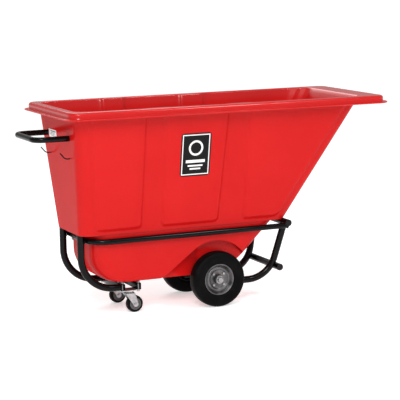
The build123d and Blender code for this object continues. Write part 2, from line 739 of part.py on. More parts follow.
for side, sign in sides:
    y = sign * caster_y
    with BuildPart() as plate:
        with BuildSketch(Plane.XY.offset(plate_z)):
            with Locations((caster_x, y)):
                RectangleRounded(plate_length, plate_width, plate_thickness * 2)
        extrude(amount=plate_thickness)
        with BuildSketch(Plane.XY.offset(plate_z - boss_height)):
            with Locations((caster_x, y)):
                Circle(boss_radius)
        extrude(amount=boss_height)
        fillet(plate.faces().sort_by(Axis.Z)[0].edges(), boss_height / 3)
        with Locations((caster_x, y, plate_z)):
            Cylinder(kingpin_radius, 4 * boss_height, mode=Mode.SUBTRACT)
            with Locations(*plate_bolt_spots):
                Cylinder(plate_bolt_hole, 4 * plate_thickness, mode=Mode.SUBTRACT)
    save(plate.part, f"caster_{side}_plate")

    kingpin_foot = crown_z - plate_thickness
    with BuildPart() as kingpin:
        add(upright_disc(caster_x, y, kingpin_foot, kingpin_radius, plate_top_z - kingpin_foot))
        add(upright_disc(caster_x, y, kingpin_foot, kingpin_head_radius, plate_thickness - gap))
    save(kingpin.part, f"caster_{side}_kingpin")

    with BuildPart() as balls:
        ball_z = crown_top + ball_play + ball_radius
        with Locations((caster_x, y, ball_z)):
            with PolarLocations(ball_circle, ball_count):
                Sphere(ball_radius)
    save(balls.part, f"caster_{side}_balls")

    with BuildPart() as fork:
        add(upright_disc(caster_x, y, crown_z, crown_radius, crown_thickness))
        add(fork_leg(y + fork_half + fork_sheet / 2))
        add(fork_leg(y - fork_half - fork_sheet / 2))
        with Locations((caster_x, y, crown_z)):
            Cylinder(kingpin_radius + running, 4 * crown_thickness, mode=Mode.SUBTRACT)
    save(fork.part, f"caster_{side}_fork")

    half = caster_wheel_width / 2
    outer_radius = caster_wheel_diameter / 2
    tread = crosswise(wheel_x, y, caster_axle_z, (
        (core_radius, -half), (outer_radius - tread_fall, -half), (outer_radius, -half + tread_edge),
        (outer_radius, half - tread_edge), (outer_radius - tread_fall, half), (core_radius, half)))
    save(tread, f"caster_{side}_tread")
    boss = bush_radius + core_wall
    flange = core_radius - core_wall
    dish = half - core_dish
    core = crosswise(wheel_x, y, caster_axle_z, (
        (bush_radius, -half), (boss, -half), (boss + core_draft, -dish), (flange - core_draft, -dish),
        (flange, -half), (core_radius, -half), (core_radius, half), (flange, half),
        (flange - core_draft, dish), (boss + core_draft, dish), (boss, half), (bush_radius, half)))
    save(core, f"caster_{side}_core")
    bush = crosswise(wheel_x, y, caster_axle_z, (
        (caster_axle_radius + running, -half - fork_gap + gap), (bush_radius, -half - fork_gap + gap),
        (bush_radius, half + fork_gap - gap), (caster_axle_radius + running, half + fork_gap - gap)))
    save(bush, f"caster_{side}_bush")

    leg_out = fork_half + fork_sheet
    head = caster_axle_radius * head_height
    with BuildPart() as caster_bolt:
        with BuildSketch(Plane.XZ.offset(-(y - sign * (leg_out + head)))):
            with Locations((wheel_x, caster_axle_z)):
                Circle(caster_axle_radius)
        extrude(amount=-sign * (2 * leg_out + 3 * head))
        with BuildSketch(Plane.XZ.offset(-(y + sign * leg_out))):
            with Locations((wheel_x, caster_axle_z)):
                RegularPolygon(caster_axle_radius * hex_corner, 6)
        extrude(amount=-sign * head)
    with BuildPart() as caster_nut:
        with BuildSketch(Plane.XZ.offset(-(y - sign * leg_out))):
            with Locations((wheel_x, caster_axle_z)):
                RegularPolygon(caster_axle_radius * hex_corner, 6)
                Circle(caster_axle_radius, mode=Mode.SUBTRACT)
        extrude(amount=sign * head)
    save(Compound([caster_bolt.part.solid(), caster_nut.part.solid()]), f"caster_{side}_axle_bolt")

plate_places = []
for side, sign in sides:
    plate_places += [(caster_x + dx, sign * caster_y + dy) for dx, dy in plate_bolt_spots]

bolt_head = plate_bolt_radius * head_height
plate_nut = plate_bolt_radius * nut_thickness
beam_top = plate_top_z + beam_height
with BuildPart() as caster_bolts:
    with BuildSketch(Plane.XY.offset(plate_z - bolt_head)):
        with Locations(*plate_places):
            RegularPolygon(plate_bolt_radius * hex_corner, 6)
    extrude(amount=bolt_head)
    with BuildSketch(Plane.XY.offset(plate_z - bolt_head)):
        with Locations(*plate_places):
            Circle(plate_bolt_radius)
    extrude(amount=beam_top - plate_z + bolt_head + plate_nut + plate_bolt_end)
with BuildPart() as caster_nuts:
    with BuildSketch(Plane.XY.offset(beam_top)):
        with Locations(*plate_places):
            RegularPolygon(plate_bolt_radius * hex_corner, 6)
            Circle(plate_bolt_radius, mode=Mode.SUBTRACT)
    extrude(amount=plate_nut)
save(Compound(caster_bolts.part.solids() + caster_nuts.part.solids()), "caster_plate_bolts")

# ---- hopper fastenings ----
hopper_bolt_places = [(x, y) for x, y, z in rear_bolt_places + front_bolt_places]
ledge_top = seat_z + wall
front_grip = seat_z - tab_thickness
rear_grip = rail_z - rail_tube / 2
nut_height = nut_thickness * hopper_bolt_radius
with BuildPart() as hopper_bolts:
    with BuildSketch(Plane.XY.offset(ledge_top)):
        with Locations(*hopper_bolt_places):
            Circle(button_radius)
    extrude(amount=hopper_bolt_radius, taper=button_taper)
    for places, grip in ((rear_bolt_places, rear_grip), (front_bolt_places, front_grip)):
        with BuildSketch(Plane.XY.offset(grip - nut_height - hopper_bolt_radius)):
            with Locations(*[(x, y) for x, y, z in places]):
                Circle(hopper_bolt_radius)
        extrude(until=Until.NEXT)
save(hopper_bolts.part, "hopper_bolts")
with BuildPart() as hopper_nuts:
    for places, grip in ((rear_bolt_places, rear_grip), (front_bolt_places, front_grip)):
        with BuildSketch(Plane.XY.offset(grip - nut_height)):
            with Locations(*[(x, y) for x, y, z in places]):
                RegularPolygon(hopper_bolt_radius * hex_corner, 6)
                Circle(hopper_bolt_radius, mode=Mode.SUBTRACT)
        extrude(amount=nut_height)
save(hopper_nuts.part, "hopper_nuts")

with BuildPart() as hopper_spacers:
    with BuildSketch(Plane.XY.offset(rail_z)):
        with Locations(*[(x, y) for x, y, z in rear_bolt_places]):
            Circle(hopper_bolt_radius * 2)
            Circle(hopper_hole, mode=Mode.SUBTRACT)
    extrude(amount=seat_z - rail_z)
    add(hoop_core.part, mode=Mode.SUBTRACT)
save(hopper_spacers.part, "hopper_spacers")

with BuildPart() as hopper_tabs:
    with BuildSketch(Plane.XY.offset(seat_z - tab_thickness)):
        for side, sign in sides:
            with Locations((tab_x, sign * front_bolt_y)):
                Rectangle(tab_length, tab_width)
    extrude(amount=tab_thickness)
    with BuildSketch(Plane.XY.offset(seat_z - tab_thickness)):
        with Locations(*[(x, y) for x, y, z in front_bolt_places]):
            Circle(hopper_hole)
    extrude(amount=tab_thickness, mode=Mode.SUBTRACT)
    add(cross_core, mode=Mode.SUBTRACT)
save(hopper_tabs.part, "hopper_tabs")

# ---- handle ----
handle_bar_x = handle_rear_x + rail_tube / 2
with BuildLine(Plane.XY.offset(handle_z)) as handle_route:
    FilletPolyline((wall_at_handle + rail_tube, handle_leg_y), (handle_bar_x, handle_leg_y),
                   (handle_bar_x, -handle_leg_y), (wall_at_handle + rail_tube, -handle_leg_y),
                   radius=handle_corner)
with BuildPart() as handle:
    add(swept_tube(handle_route.wire(), rail_tube, tube_wall))
    split(bisect_by=wall_plane(0, handle_z), keep=Keep.TOP)
save(handle.part, "handle")


# the washer is flat and the wall leans, so it stands off by the lean across its own radius
washer_x = wall_at_handle + wall / cos(rear_lean) + handle_washer_radius * tan(rear_lean) + running
bolt_x = washer_x + washer_thickness
handle_ends = [(handle_leg_y, handle_z), (-handle_leg_y, handle_z)]
with BuildPart() as handle_bolts:
    with BuildSketch(Plane.YZ.offset(bolt_x)):
        with Locations(*handle_ends):
            RegularPolygon(handle_bolt_radius * hex_corner, 6)
    extrude(amount=handle_bolt_radius)
    with BuildSketch(Plane.YZ.offset(bolt_x)):
        with Locations(*handle_ends):
            Circle(handle_bolt_radius)
    extrude(amount=-handle_bolt_length)
with BuildPart() as handle_washers:
    with BuildSketch(Plane.YZ.offset(washer_x)):
        with Locations(*handle_ends):
            Circle(handle_washer_radius)
            Circle(handle_bolt_radius + gap, mode=Mode.SUBTRACT)
    extrude(amount=washer_thickness)
save(Compound(handle_bolts.part.solids() + handle_washers.part.solids()), "handle_bolts")
with BuildPart() as handle_inserts:
    with BuildSketch(Plane.YZ.offset(wall_at_handle + rail_tube)):
        with Locations(*handle_ends):
            Circle(rail_tube / 2 - tube_wall)
            Circle(handle_bolt_radius, mode=Mode.SUBTRACT)
    extrude(amount=-(rail_tube + insert_length))
    split(bisect_by=wall_plane(0, handle_z), keep=Keep.TOP)
save(handle_inserts.part, "handle_inserts")

# ---- hooks ----
for side, sign in sides:
    with BuildLine(Plane.XZ.offset(-sign * hook_y)) as hook_route:
        FilletPolyline((hook_wall_x + wall + 3 * hook_nut, hook_z), (hook_wall_x - hook_reach / 2, hook_z),
                       (hook_wall_x - hook_reach, hook_z + hook_rise), radius=hook_reach / 2)
    with BuildPart() as hook:
        with BuildSketch(Plane(origin=hook_route.wire() @ 0, z_dir=hook_route.wire() % 0)):
            Circle(hook_wire / 2)
        sweep(path=hook_route.wire())
        fillet(hook.faces().sort_by(Axis.X)[0].edges(), hook_wire / 4)
    save(hook.part, f"hook_{side}")
with BuildPart() as hook_nuts:
    for side, sign in sides:
        nut_face = Plane(origin=(hook_wall_x + wall + 3 * gap, sign * hook_y, hook_z), z_dir=(1, 0, 0))
        with BuildSketch(nut_face):
            RegularPolygon(hook_wire, 6)
            Circle(hook_wire / 2, mode=Mode.SUBTRACT)
        extrude(amount=hook_nut)
save(hook_nuts.part, "hook_nuts")

# ---- stickers ----
side_sticker_x = axle_x + (rear_channel[1] + front_channel[0] - front_channel_flare / 2) / 2
with BuildPart() as side_sticker:
    face_y = -(side_y(side_sticker_z) + panel_proud)
    with BuildSketch(Plane(origin=(side_sticker_x, face_y, side_sticker_z), x_dir=(1, 0, 0),
                           z_dir=(0, -cos(side_lean), -sin(side_lean)))):
        RectangleRounded(*side_sticker_size, side_sticker_corner)
    extrude(amount=sticker_thickness)
save(side_sticker.part, "side_sticker")
with BuildPart() as rear_sticker:
    with BuildSketch(wall_plane(*rear_sticker_place)):
        RectangleRounded(*rear_sticker_size, rear_sticker_corner)
    extrude(amount=sticker_thickness)
save(rear_sticker.part, "rear_sticker")
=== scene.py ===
import bmesh
import bpy
import json
import numpy as np
from math import cos, pi, radians, sin, sqrt, tan
from mathutils import Matrix, Vector


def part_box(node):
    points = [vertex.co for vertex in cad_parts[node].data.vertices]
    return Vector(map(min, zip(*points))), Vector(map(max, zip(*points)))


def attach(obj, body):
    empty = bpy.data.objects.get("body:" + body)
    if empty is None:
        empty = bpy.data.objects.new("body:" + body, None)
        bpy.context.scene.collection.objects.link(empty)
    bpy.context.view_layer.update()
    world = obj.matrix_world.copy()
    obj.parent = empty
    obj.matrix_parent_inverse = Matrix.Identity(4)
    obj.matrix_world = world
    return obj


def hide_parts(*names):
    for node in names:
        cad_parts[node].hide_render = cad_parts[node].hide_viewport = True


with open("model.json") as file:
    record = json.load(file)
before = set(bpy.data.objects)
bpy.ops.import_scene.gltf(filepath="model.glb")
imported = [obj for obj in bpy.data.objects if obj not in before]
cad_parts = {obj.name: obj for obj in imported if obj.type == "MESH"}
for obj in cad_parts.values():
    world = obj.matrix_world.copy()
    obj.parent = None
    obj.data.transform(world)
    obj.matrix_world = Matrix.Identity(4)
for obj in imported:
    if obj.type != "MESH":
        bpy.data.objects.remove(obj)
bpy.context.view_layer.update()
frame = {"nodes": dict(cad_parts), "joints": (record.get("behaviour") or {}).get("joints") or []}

joints = {joint["name"]: joint for joint in frame["joints"]}

# ---- View and light ----
# A long lens a little above the rim, off the right-hand side and behind the middle, looking
# forwards. A pale sky all round and a wide soft sun, with three square lamps: a large one up on the
# left, a small one high on the right that draws a line along the rim, and a wide one behind.
AIM_FROM_AXLE, AIM_HEIGHT = -0.002, 0.4634
VIEW_DISTANCE, VIEW_TURN = 7.311, radians(23.95)
VIEW_FALL, VIEW_ROLL = radians(9.07), radians(0.84)
LENS_MM, SENSOR_MM, FAR_CLIP = 142.95, 36.0, 1000.0
SKY_STRENGTH, SUN_STRENGTH, SUN_WIDTH = 0.42, 0.85, radians(60)
SUN_TILT = (radians(32), radians(-14), 0.0)
# name, place, side of the square in metres, watts
LAMPS = (("key", (-2.3, -4.0, 3.3), 1.5, 118.0),
         ("fill", (1.9, -3.1, 4.0), 0.7, 46.0),
         ("back", (0.6, 3.4, 3.4), 2.4, 60.0))

axle = Vector(joints["wheel_left_spin"]["pos_m"])
axle_x, axle_z = axle.x, axle.z
aim = Vector((axle_x + AIM_FROM_AXLE, 0.0, AIM_HEIGHT))
look = Vector((sin(VIEW_TURN) * cos(VIEW_FALL), cos(VIEW_TURN) * cos(VIEW_FALL), -sin(VIEW_FALL)))
level = Vector((cos(VIEW_TURN), -sin(VIEW_TURN), 0.0))
right = level * cos(VIEW_ROLL) - level.cross(look) * sin(VIEW_ROLL)
up = right.cross(look)
camera = bpy.data.objects.new("camera", bpy.data.cameras.new("camera"))
camera.matrix_world = (Matrix.Translation(aim - look * VIEW_DISTANCE)
                       @ Matrix((right, up, -look)).transposed().to_4x4())
camera.data.sensor_width = SENSOR_MM
camera.data.lens = LENS_MM
camera.data.clip_end = FAR_CLIP
bpy.context.scene.collection.objects.link(camera)
bpy.context.scene.camera = camera
bpy.context.scene.view_settings.view_transform = "Standard"

world = bpy.data.worlds.new("studio")
bpy.context.scene.world = world
world.use_nodes = True
sky = world.node_tree.nodes["Background"]
sky.inputs["Color"].default_value = (1.0, 1.0, 1.0, 1.0)
sky.inputs["Strength"].default_value = SKY_STRENGTH
for name, place, size, watts in LAMPS:
    lamp = bpy.data.lights.new(name, "AREA")
    lamp.shape = "SQUARE"
    lamp.size = size
    lamp.energy = watts
    holder = bpy.data.objects.new(name, lamp)
    facing = (aim - Vector(place)).to_track_quat("-Z", "Y")
    holder.matrix_world = Matrix.Translation(place) @ facing.to_matrix().to_4x4()
    bpy.context.scene.collection.objects.link(holder)
daylight = bpy.data.lights.new("daylight", "SUN")
daylight.energy = SUN_STRENGTH
daylight.angle = SUN_WIDTH
sun = bpy.data.objects.new("daylight", daylight)
sun.rotation_euler = SUN_TILT
bpy.context.scene.collection.objects.link(sun)


# ---- Floor ----
# A seamless pale floor, painted matt, with the faintest unevenness in its tone. It gives off a little
# light of its own, so that it stays white as far as the eye reaches.
class Value:
    """One output of a shader node; arithmetic on it adds Math nodes."""

    def __init__(self, finish, node, index=0):
        self.finish, self.node, self.socket = finish, node, node.outputs[index]

    def math(self, operation, *numbers):
        return self.finish.add("ShaderNodeMath", {"operation": operation}, *numbers)

    def __add__(self, other):
        return self.math("ADD", self, other)

    def __sub__(self, other):
        return self.math("SUBTRACT", self, other)

    def __rsub__(self, other):
        return self.math("SUBTRACT", other, self)

    def __mul__(self, other):
        return self.math("MULTIPLY", self, other)

    def __pow__(self, other):
        return self.math("POWER", self, other)

    def __lt__(self, other):
        return self.math("LESS_THAN", self, other)

    def __or__(self, other):
        return self.math("MAXIMUM", self, other)

    def abs(self):
        return self.math("ABSOLUTE", self)

    def out(self, name):
        return Value(self.finish, self.node, name)

    __radd__, __rmul__ = __add__, __mul__


# where a Mix node keeps its two colours, and the colour that comes out
MIX_COLOURS_IN, MIX_COLOUR_OUT = (6, 7), 2


class Finish:
    """A material: constants go on the shader's own sockets, varying values are linked with set()."""

    def __init__(self, name, **constants):
        self.material = bpy.data.materials.new(name)
        self.material.use_nodes = True
        self.tree = self.material.node_tree
        self.shader = self.tree.nodes["Principled BSDF"]
        for socket, value in constants.items():
            self.shader.inputs[socket.replace("_", " ")].default_value = value
        self.place = self.add("ShaderNodeTexCoord", {}).out("Object")

    def add(self, kind, settings, *values, **named):
        node = self.tree.nodes.new(kind)
        for key, setting in settings.items():
            setattr(node, key, setting)
        for key, value in list(enumerate(values)) + list(named.items()):
            socket = node.inputs[key if isinstance(key, int) else key.replace("_", " ")]
            if isinstance(value, Value):
                self.tree.links.new(value.socket, socket)
            else:
                socket.default_value = value
        return Value(self, node)

    def noise(self, scale, detail=2.0, stretch=None, roughness=0.5):
        place = self.place
        if stretch:
            place = self.add("ShaderNodeMapping", {}, place, Scale=stretch)
        return self.add("ShaderNodeTexNoise", {}, Vector=place, Scale=scale, Detail=detail,
                        Roughness=roughness)

    def height(self):
        return self.add("ShaderNodeSeparateXYZ", {}, self.place).out("Z")

    def ramp(self, value, low, high):
        # 0 up to low, 1 from high on, with a soft start and end between them
        settings = {"interpolation_type": "SMOOTHSTEP"}
        return self.add("ShaderNodeMapRange", settings, value, low, high, 0.0, 1.0)

    def mix(self, factor, first, second):
        colour = self.add("ShaderNodeMix", {"data_type": "RGBA"}, factor)
        for index, value in zip(MIX_COLOURS_IN, (first, second)):
            if isinstance(value, Value):
                self.tree.links.new(value.socket, colour.node.inputs[index])
            else:
                colour.node.inputs[index].default_value = (*value, 1.0)
        return Value(self, colour.node, MIX_COLOUR_OUT)

    def bump(self, *layers):
        # each layer is (height, depth in metres)
        normal = None
        for height, depth in layers:
            under = {"Normal": normal} if normal else {}
            normal = self.add("ShaderNodeBump", {}, Height=height, Strength=1.0, Distance=depth,
                              **under)
        self.set("Normal", normal)

    def set(self, socket, value):
        self.tree.links.new(value.socket, self.shader.inputs[socket])


FLOOR_REACH, FLOOR_GLOW = 200.0, 0.50
FLOOR_DULL, FLOOR_PALE = (0.90, 0.90, 0.90), (0.92, 0.92, 0.92)
floor_paint = Finish("floor_paint", Roughness=0.85, Emission_Color=(1.0, 1.0, 1.0, 1.0),
                     Emission_Strength=FLOOR_GLOW)
floor_paint.set("Base Color", floor_paint.mix(floor_paint.noise(2.0), FLOOR_DULL, FLOOR_PALE))
floor_corners = [(x * FLOOR_REACH, y * FLOOR_REACH, 0.0)
                 for x, y in ((-1, -1), (1, -1), (1, 1), (-1, 1))]
floor_mesh = bpy.data.meshes.new("floor")
floor_mesh.from_pydata(floor_corners, [], [(0, 1, 2, 3)])
floor_mesh.materials.append(floor_paint.material)
floor = bpy.data.objects.new("floor", floor_mesh)
bpy.context.scene.collection.objects.link(floor)


# ---- Hopper ----
# One rotomoulded tub in satin red polyethylene, wall 6 mm: raised side panels with upright channels
# between them, a foot that hangs between the rails, wheel arches, and a flanged rim with a turned-out
# lip.
hopper_low, hopper_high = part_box("hopper")
HOPPER_BOTTOM, RIM_TOP = hopper_low.z, hopper_high.z
LIP_REAR_X, LIP_FRONT_X, LIP_HALF = hopper_low.x, hopper_high.x, hopper_high.y
WALL = 0.006
# the part above the frame: where it stands on it, how its walls lean and how its corners are rounded
SEAT_Z, SIDE_SEAT, UPPER_CORNER = 0.372, 0.170, 0.048
REAR_SEAT_X, FRONT_SEAT_X = axle_x - 0.645, axle_x + 0.356
REAR_LEAN, SIDE_LEAN, FRONT_SLOPE = radians(4.6), radians(10), radians(58)
# the foot below the frame
LOWER_REAR_X, LOWER_FRONT_X, LOWER_SLOPE = axle_x - 0.5863, axle_x + 0.309, radians(45)
LOWER_HALF, LOWER_CORNER, LOWER_TAPER = 0.1653, 0.0683, 0.008
LOWER_FRONT_ROUND, LOWER_REAR_ROUND, LOWER_EDGE_ROUND = 0.300, 0.130, 0.024
# raised panels, and the channels between them as spans from the axle
PANEL_PROUD, PANEL_LIFT, PANEL_FOOT_ROUND, PANEL_BLEND = 0.012, 0.012, 0.030, 0.022
PANEL_REAR_MARGIN, PANEL_FRONT_MARGIN = 0.051, 0.056
REAR_CHANNEL, FRONT_CHANNEL, CHANNEL_FLARE = (-0.357, -0.280), (0.039, 0.120), 0.026
# rim and lip
RIM_DEPTH, LIP_WIDTH, RIM_CORNER, RIM_SHOULDER, MOUTH_ROUND = 0.034, 0.020, 0.070, 0.012, 0.006
LIP_NOSE, LIP_BREAK, LIP_NIP, LIP_FILLET = 0.002, 0.001, 0.0005, 0.005
RIM_ROOT, RIM_ROOT_GAP = 0.004, 0.003
# wheel arches
ARCH_RADIUS, ARCH_BACK_Y, ARCH_FLARE, ARCH_FALL = 0.175, 0.128, 0.210, radians(37)
ARCH_DIP, ARCH_ROUND, ARCH_PAST_LIP = 0.35 * pi, 0.014, 0.1
# how closely the mesh is spaced
PANEL_COLUMNS, CHANNEL_COLUMNS, BLEND_COLUMNS = (10, 22, 14), 7, 6
END_COLUMNS, CORNER_COLUMNS, ARCH_COLUMNS = 20, 10, 60
LOWER_ROWS, SEAT_STEPS, BLEND_ROWS, UPPER_ROWS = 26, (0.004, 0.008), 5, 36
ABOVE_BLEND, SHOULDER_ROWS, MOUTH_ROWS = (0.005, 0.011, 0.019), 8, 6
COLUMNS_APART, SHARP_ANGLE = 1e-5, radians(38)


def smooth_step(t):
    t = np.clip(t, 0.0, 1.0)
    return t * t * (3.0 - 2.0 * t)


def channel_keys(z):
    # where each panel starts and ends along the side at height z
    rise = z - SEAT_Z
    share = (rise - PANEL_LIFT) / (RIM_TOP - SEAT_Z - PANEL_LIFT)
    flare = CHANNEL_FLARE * (1.0 - np.clip(share, 0.0, 1.0))
    rear = REAR_SEAT_X - rise * tan(REAR_LEAN) + PANEL_REAR_MARGIN
    front = FRONT_SEAT_X + rise / tan(FRONT_SLOPE) - PANEL_FRONT_MARGIN
    return [rear, axle_x + REAR_CHANNEL[0], axle_x + REAR_CHANNEL[1],
            axle_x + FRONT_CHANNEL[0] - flare, axle_x + FRONT_CHANNEL[1], front]


def side_stations(z, rear, front):
    # columns along a side, close together where a panel's edge blends into its channel
    keys = channel_keys(z)
    blend = np.linspace(0.0, PANEL_BLEND, BLEND_COLUMNS)
    spots = [np.array([rear])]
    for number, count in enumerate(PANEL_COLUMNS):
        start, stop = keys[2 * number], keys[2 * number + 1]
        middle = np.linspace(start + PANEL_BLEND, stop - PANEL_BLEND, count)[1:-1]
        spots += [start + blend, middle, stop - PANEL_BLEND + blend]
        if number < len(PANEL_COLUMNS) - 1:
            spots.append(np.linspace(stop, keys[2 * number + 2], CHANNEL_COLUMNS)[1:-1])
    spots.append(np.array([front]))
    return np.concatenate(spots)


def panel_height(xs, z, inset):
    # how far the side stands proud: full inside a panel, nothing in the channels, blended between
    keys = channel_keys(z)
    proud = np.zeros_like(xs)
    for number in range(len(PANEL_COLUMNS)):
        start, stop = keys[2 * number] + inset, keys[2 * number + 1] - inset
        across = np.minimum(xs - start, stop - xs)
        upward = np.full_like(xs, z - SEAT_Z - PANEL_LIFT - inset)
        side_gap, foot_gap = PANEL_FOOT_ROUND - across, PANEL_FOOT_ROUND - upward
        inside = np.where((side_gap > 0) & (foot_gap > 0),
                          PANEL_FOOT_ROUND - np.hypot(side_gap, foot_gap), np.minimum(across, upward))
        proud = np.maximum(proud, smooth_step(inside / PANEL_BLEND))
    return proud * PANEL_PROUD


def ring(rear, front, half, corner, z, stations, proud=None):
    # one level of the tub, anticlockwise from above, starting at the rear of the right-hand side
    proud = np.zeros_like(stations) if proud is None else proud
    quarter_turn = np.linspace(0.0, pi / 2, CORNER_COLUMNS + 2)[1:-1]
    across = np.linspace(-half + corner, half - corner, END_COLUMNS)
    front_c, rear_c, side_c = front - corner, rear + corner, half - corner
    points = [(x, -half - p) for x, p in zip(stations, proud)]
    points += [(front_c + corner * sin(a), -side_c - corner * cos(a)) for a in quarter_turn]
    points += [(front, y) for y in across]
    points += [(front_c + corner * cos(a), side_c + corner * sin(a)) for a in quarter_turn]
    points += [(x, half + p) for x, p in zip(stations[::-1], proud[::-1])]
    points += [(rear_c - corner * sin(a), side_c + corner * cos(a)) for a in quarter_turn]
    points += [(rear, -y) for y in across]
    points += [(rear_c - corner * cos(a), -side_c - corner * sin(a)) for a in quarter_turn]
    return [(x, y, z) for x, y in points]


def carried_in(radius, rise):
    # how far a rounded bottom edge has drawn in at this rise above the bottom
    return radius - sqrt(radius ** 2 - max(radius - rise, 0.0) ** 2)


def lower_ring(z, inset):
    # one level of the foot; its front runs from a wide round into a straight slope
    rise = z - HOPPER_BOTTOM - inset
    rear = LOWER_REAR_X + inset + carried_in(LOWER_REAR_ROUND - inset, rise)
    sweep = LOWER_FRONT_ROUND - inset
    corner_x = LOWER_FRONT_X - (SEAT_Z - HOPPER_BOTTOM) / tan(LOWER_SLOPE)
    corner_x += inset / tan(LOWER_SLOPE) - inset / sin(LOWER_SLOPE)
    if rise < sweep * (1 - cos(LOWER_SLOPE)):
        front = corner_x - sweep * tan(LOWER_SLOPE / 2) + sqrt(sweep ** 2 - (sweep - rise) ** 2)
    else:
        front = corner_x + rise / tan(LOWER_SLOPE)
    fall = (SEAT_Z - z) / (SEAT_Z - HOPPER_BOTTOM)
    half = LOWER_HALF - fall * LOWER_TAPER - inset - carried_in(LOWER_EDGE_ROUND - inset, rise)
    corner = LOWER_CORNER - inset
    upper = side_stations(SEAT_Z, REAR_SEAT_X + UPPER_CORNER, FRONT_SEAT_X - UPPER_CORNER)
    share = (upper - upper[0]) / (upper[-1] - upper[0])
    stations = rear + corner + share * (front - rear - 2 * corner)
    return ring(rear, front, half, corner, z, stations)


def upper_ring(z, inset, grow=0.0):
    # one level above the frame, drawn in by inset for the inner skin, let out by grow at the mouth
    rise = z - SEAT_Z
    rear = REAR_SEAT_X - rise * tan(REAR_LEAN) + (inset - grow) / cos(REAR_LEAN)
    front = FRONT_SEAT_X + rise / tan(FRONT_SLOPE) - (inset - grow) / sin(FRONT_SLOPE)
    half = SIDE_SEAT + rise * tan(SIDE_LEAN) - inset + grow
    corner = UPPER_CORNER - inset + grow
    stations = side_stations(z, rear + corner, front - corner)
    return ring(rear, front, half, corner, z, stations, panel_height(stations, z, inset))


def rim_ring(inset, z):
    # one level of the rim, inset from the lip's edge
    rear, front, half = LIP_REAR_X + inset, LIP_FRONT_X - inset, LIP_HALF - inset
    corner = RIM_CORNER - inset
    upper = side_stations(RIM_TOP, 0.0, 0.0)[1:-1]
    upper = np.clip(upper, rear + corner, front - corner)
    stations = np.concatenate([[rear + corner], upper, [front - corner]])
    stations = np.maximum.accumulate(stations + np.arange(len(stations)) * COLUMNS_APART)
    return ring(rear, front, half, corner, z, stations)


def solid(rings):
    # a closed body from its levels, bottom first
    count = len(rings[0])
    mesh = bmesh.new()
    rows = [[mesh.verts.new(point) for point in row] for row in rings]
    for low, high in zip(rows, rows[1:]):
        for i in range(count):
            mesh.faces.new((low[i], low[(i + 1) % count], high[(i + 1) % count], high[i]))
    mesh.faces.new(rows[0][::-1])
    mesh.faces.new(rows[-1])
    return mesh


def lower_levels(inset):
    depth = SEAT_Z - HOPPER_BOTTOM
    return [HOPPER_BOTTOM + inset + depth * (n / LOWER_ROWS) ** 2 for n in range(LOWER_ROWS + 1)]


def upper_levels(start, stop):
    # close together at the seat and where the panels rise, then even
    foot = start + PANEL_LIFT
    close = [start] + [start + step for step in SEAT_STEPS]
    close += [foot + PANEL_BLEND * n / BLEND_ROWS for n in range(BLEND_ROWS + 1)]
    close += [foot + PANEL_BLEND + step for step in ABOVE_BLEND]
    return close + [float(z) for z in np.linspace(close[-1], stop, UPPER_ROWS)[1:]]


# the rim's section as (inset from the lip's edge, height): up inside the skirt, round the lip's nose,
# back along its top, and up the skirt and over the shoulder
skirt, inner_skirt = LIP_WIDTH, LIP_WIDTH + WALL
lip_under, lip_over = RIM_TOP - RIM_DEPTH, RIM_TOP - RIM_DEPTH + WALL
rim_section = [(inner_skirt + RIM_ROOT_GAP, RIM_TOP - WALL), (inner_skirt, RIM_TOP - WALL - RIM_ROOT),
               (inner_skirt, lip_under + LIP_NOSE), (inner_skirt - LIP_BREAK, lip_under),
               (LIP_NOSE, lip_under), (LIP_NIP, lip_under + LIP_BREAK), (0.0, lip_under + WALL / 2),
               (LIP_NIP, lip_over - LIP_BREAK), (LIP_NOSE, lip_over), (skirt - LIP_FILLET, lip_over),
               (skirt - 0.3 * LIP_FILLET, lip_over + 0.3 * LIP_FILLET),
               (skirt, lip_over + LIP_FILLET)]
rim_section += [(skirt + RIM_SHOULDER * (1 - cos(a)), RIM_TOP - RIM_SHOULDER * (1 - sin(a)))
                for a in np.linspace(0.0, pi / 2, SHOULDER_ROWS)]
outside = solid([lower_ring(z, 0.0) for z in lower_levels(0.0)]
                + [upper_ring(z, 0.0) for z in upper_levels(SEAT_Z, RIM_TOP - WALL)]
                + [rim_ring(inset, z) for inset, z in rim_section])
MOUTH_TURN, CAVITY_PAST_RIM = 0.97 * pi / 2, 0.01
mouth = [(RIM_TOP - MOUTH_ROUND * (1 - sin(a)), MOUTH_ROUND * (1 - cos(a)))
         for a in np.linspace(0.0, MOUTH_TURN, MOUTH_ROWS)]
cavity_levels = upper_levels(SEAT_Z + WALL, RIM_TOP - MOUTH_ROUND)[:-1]
cavity = solid([lower_ring(z, WALL) for z in lower_levels(WALL)]
               + [upper_ring(z, WALL) for z in cavity_levels]
               + [upper_ring(z, WALL, grow) for z, grow in mouth]
               + [upper_ring(RIM_TOP + CAVITY_PAST_RIM, WALL, MOUTH_ROUND)])


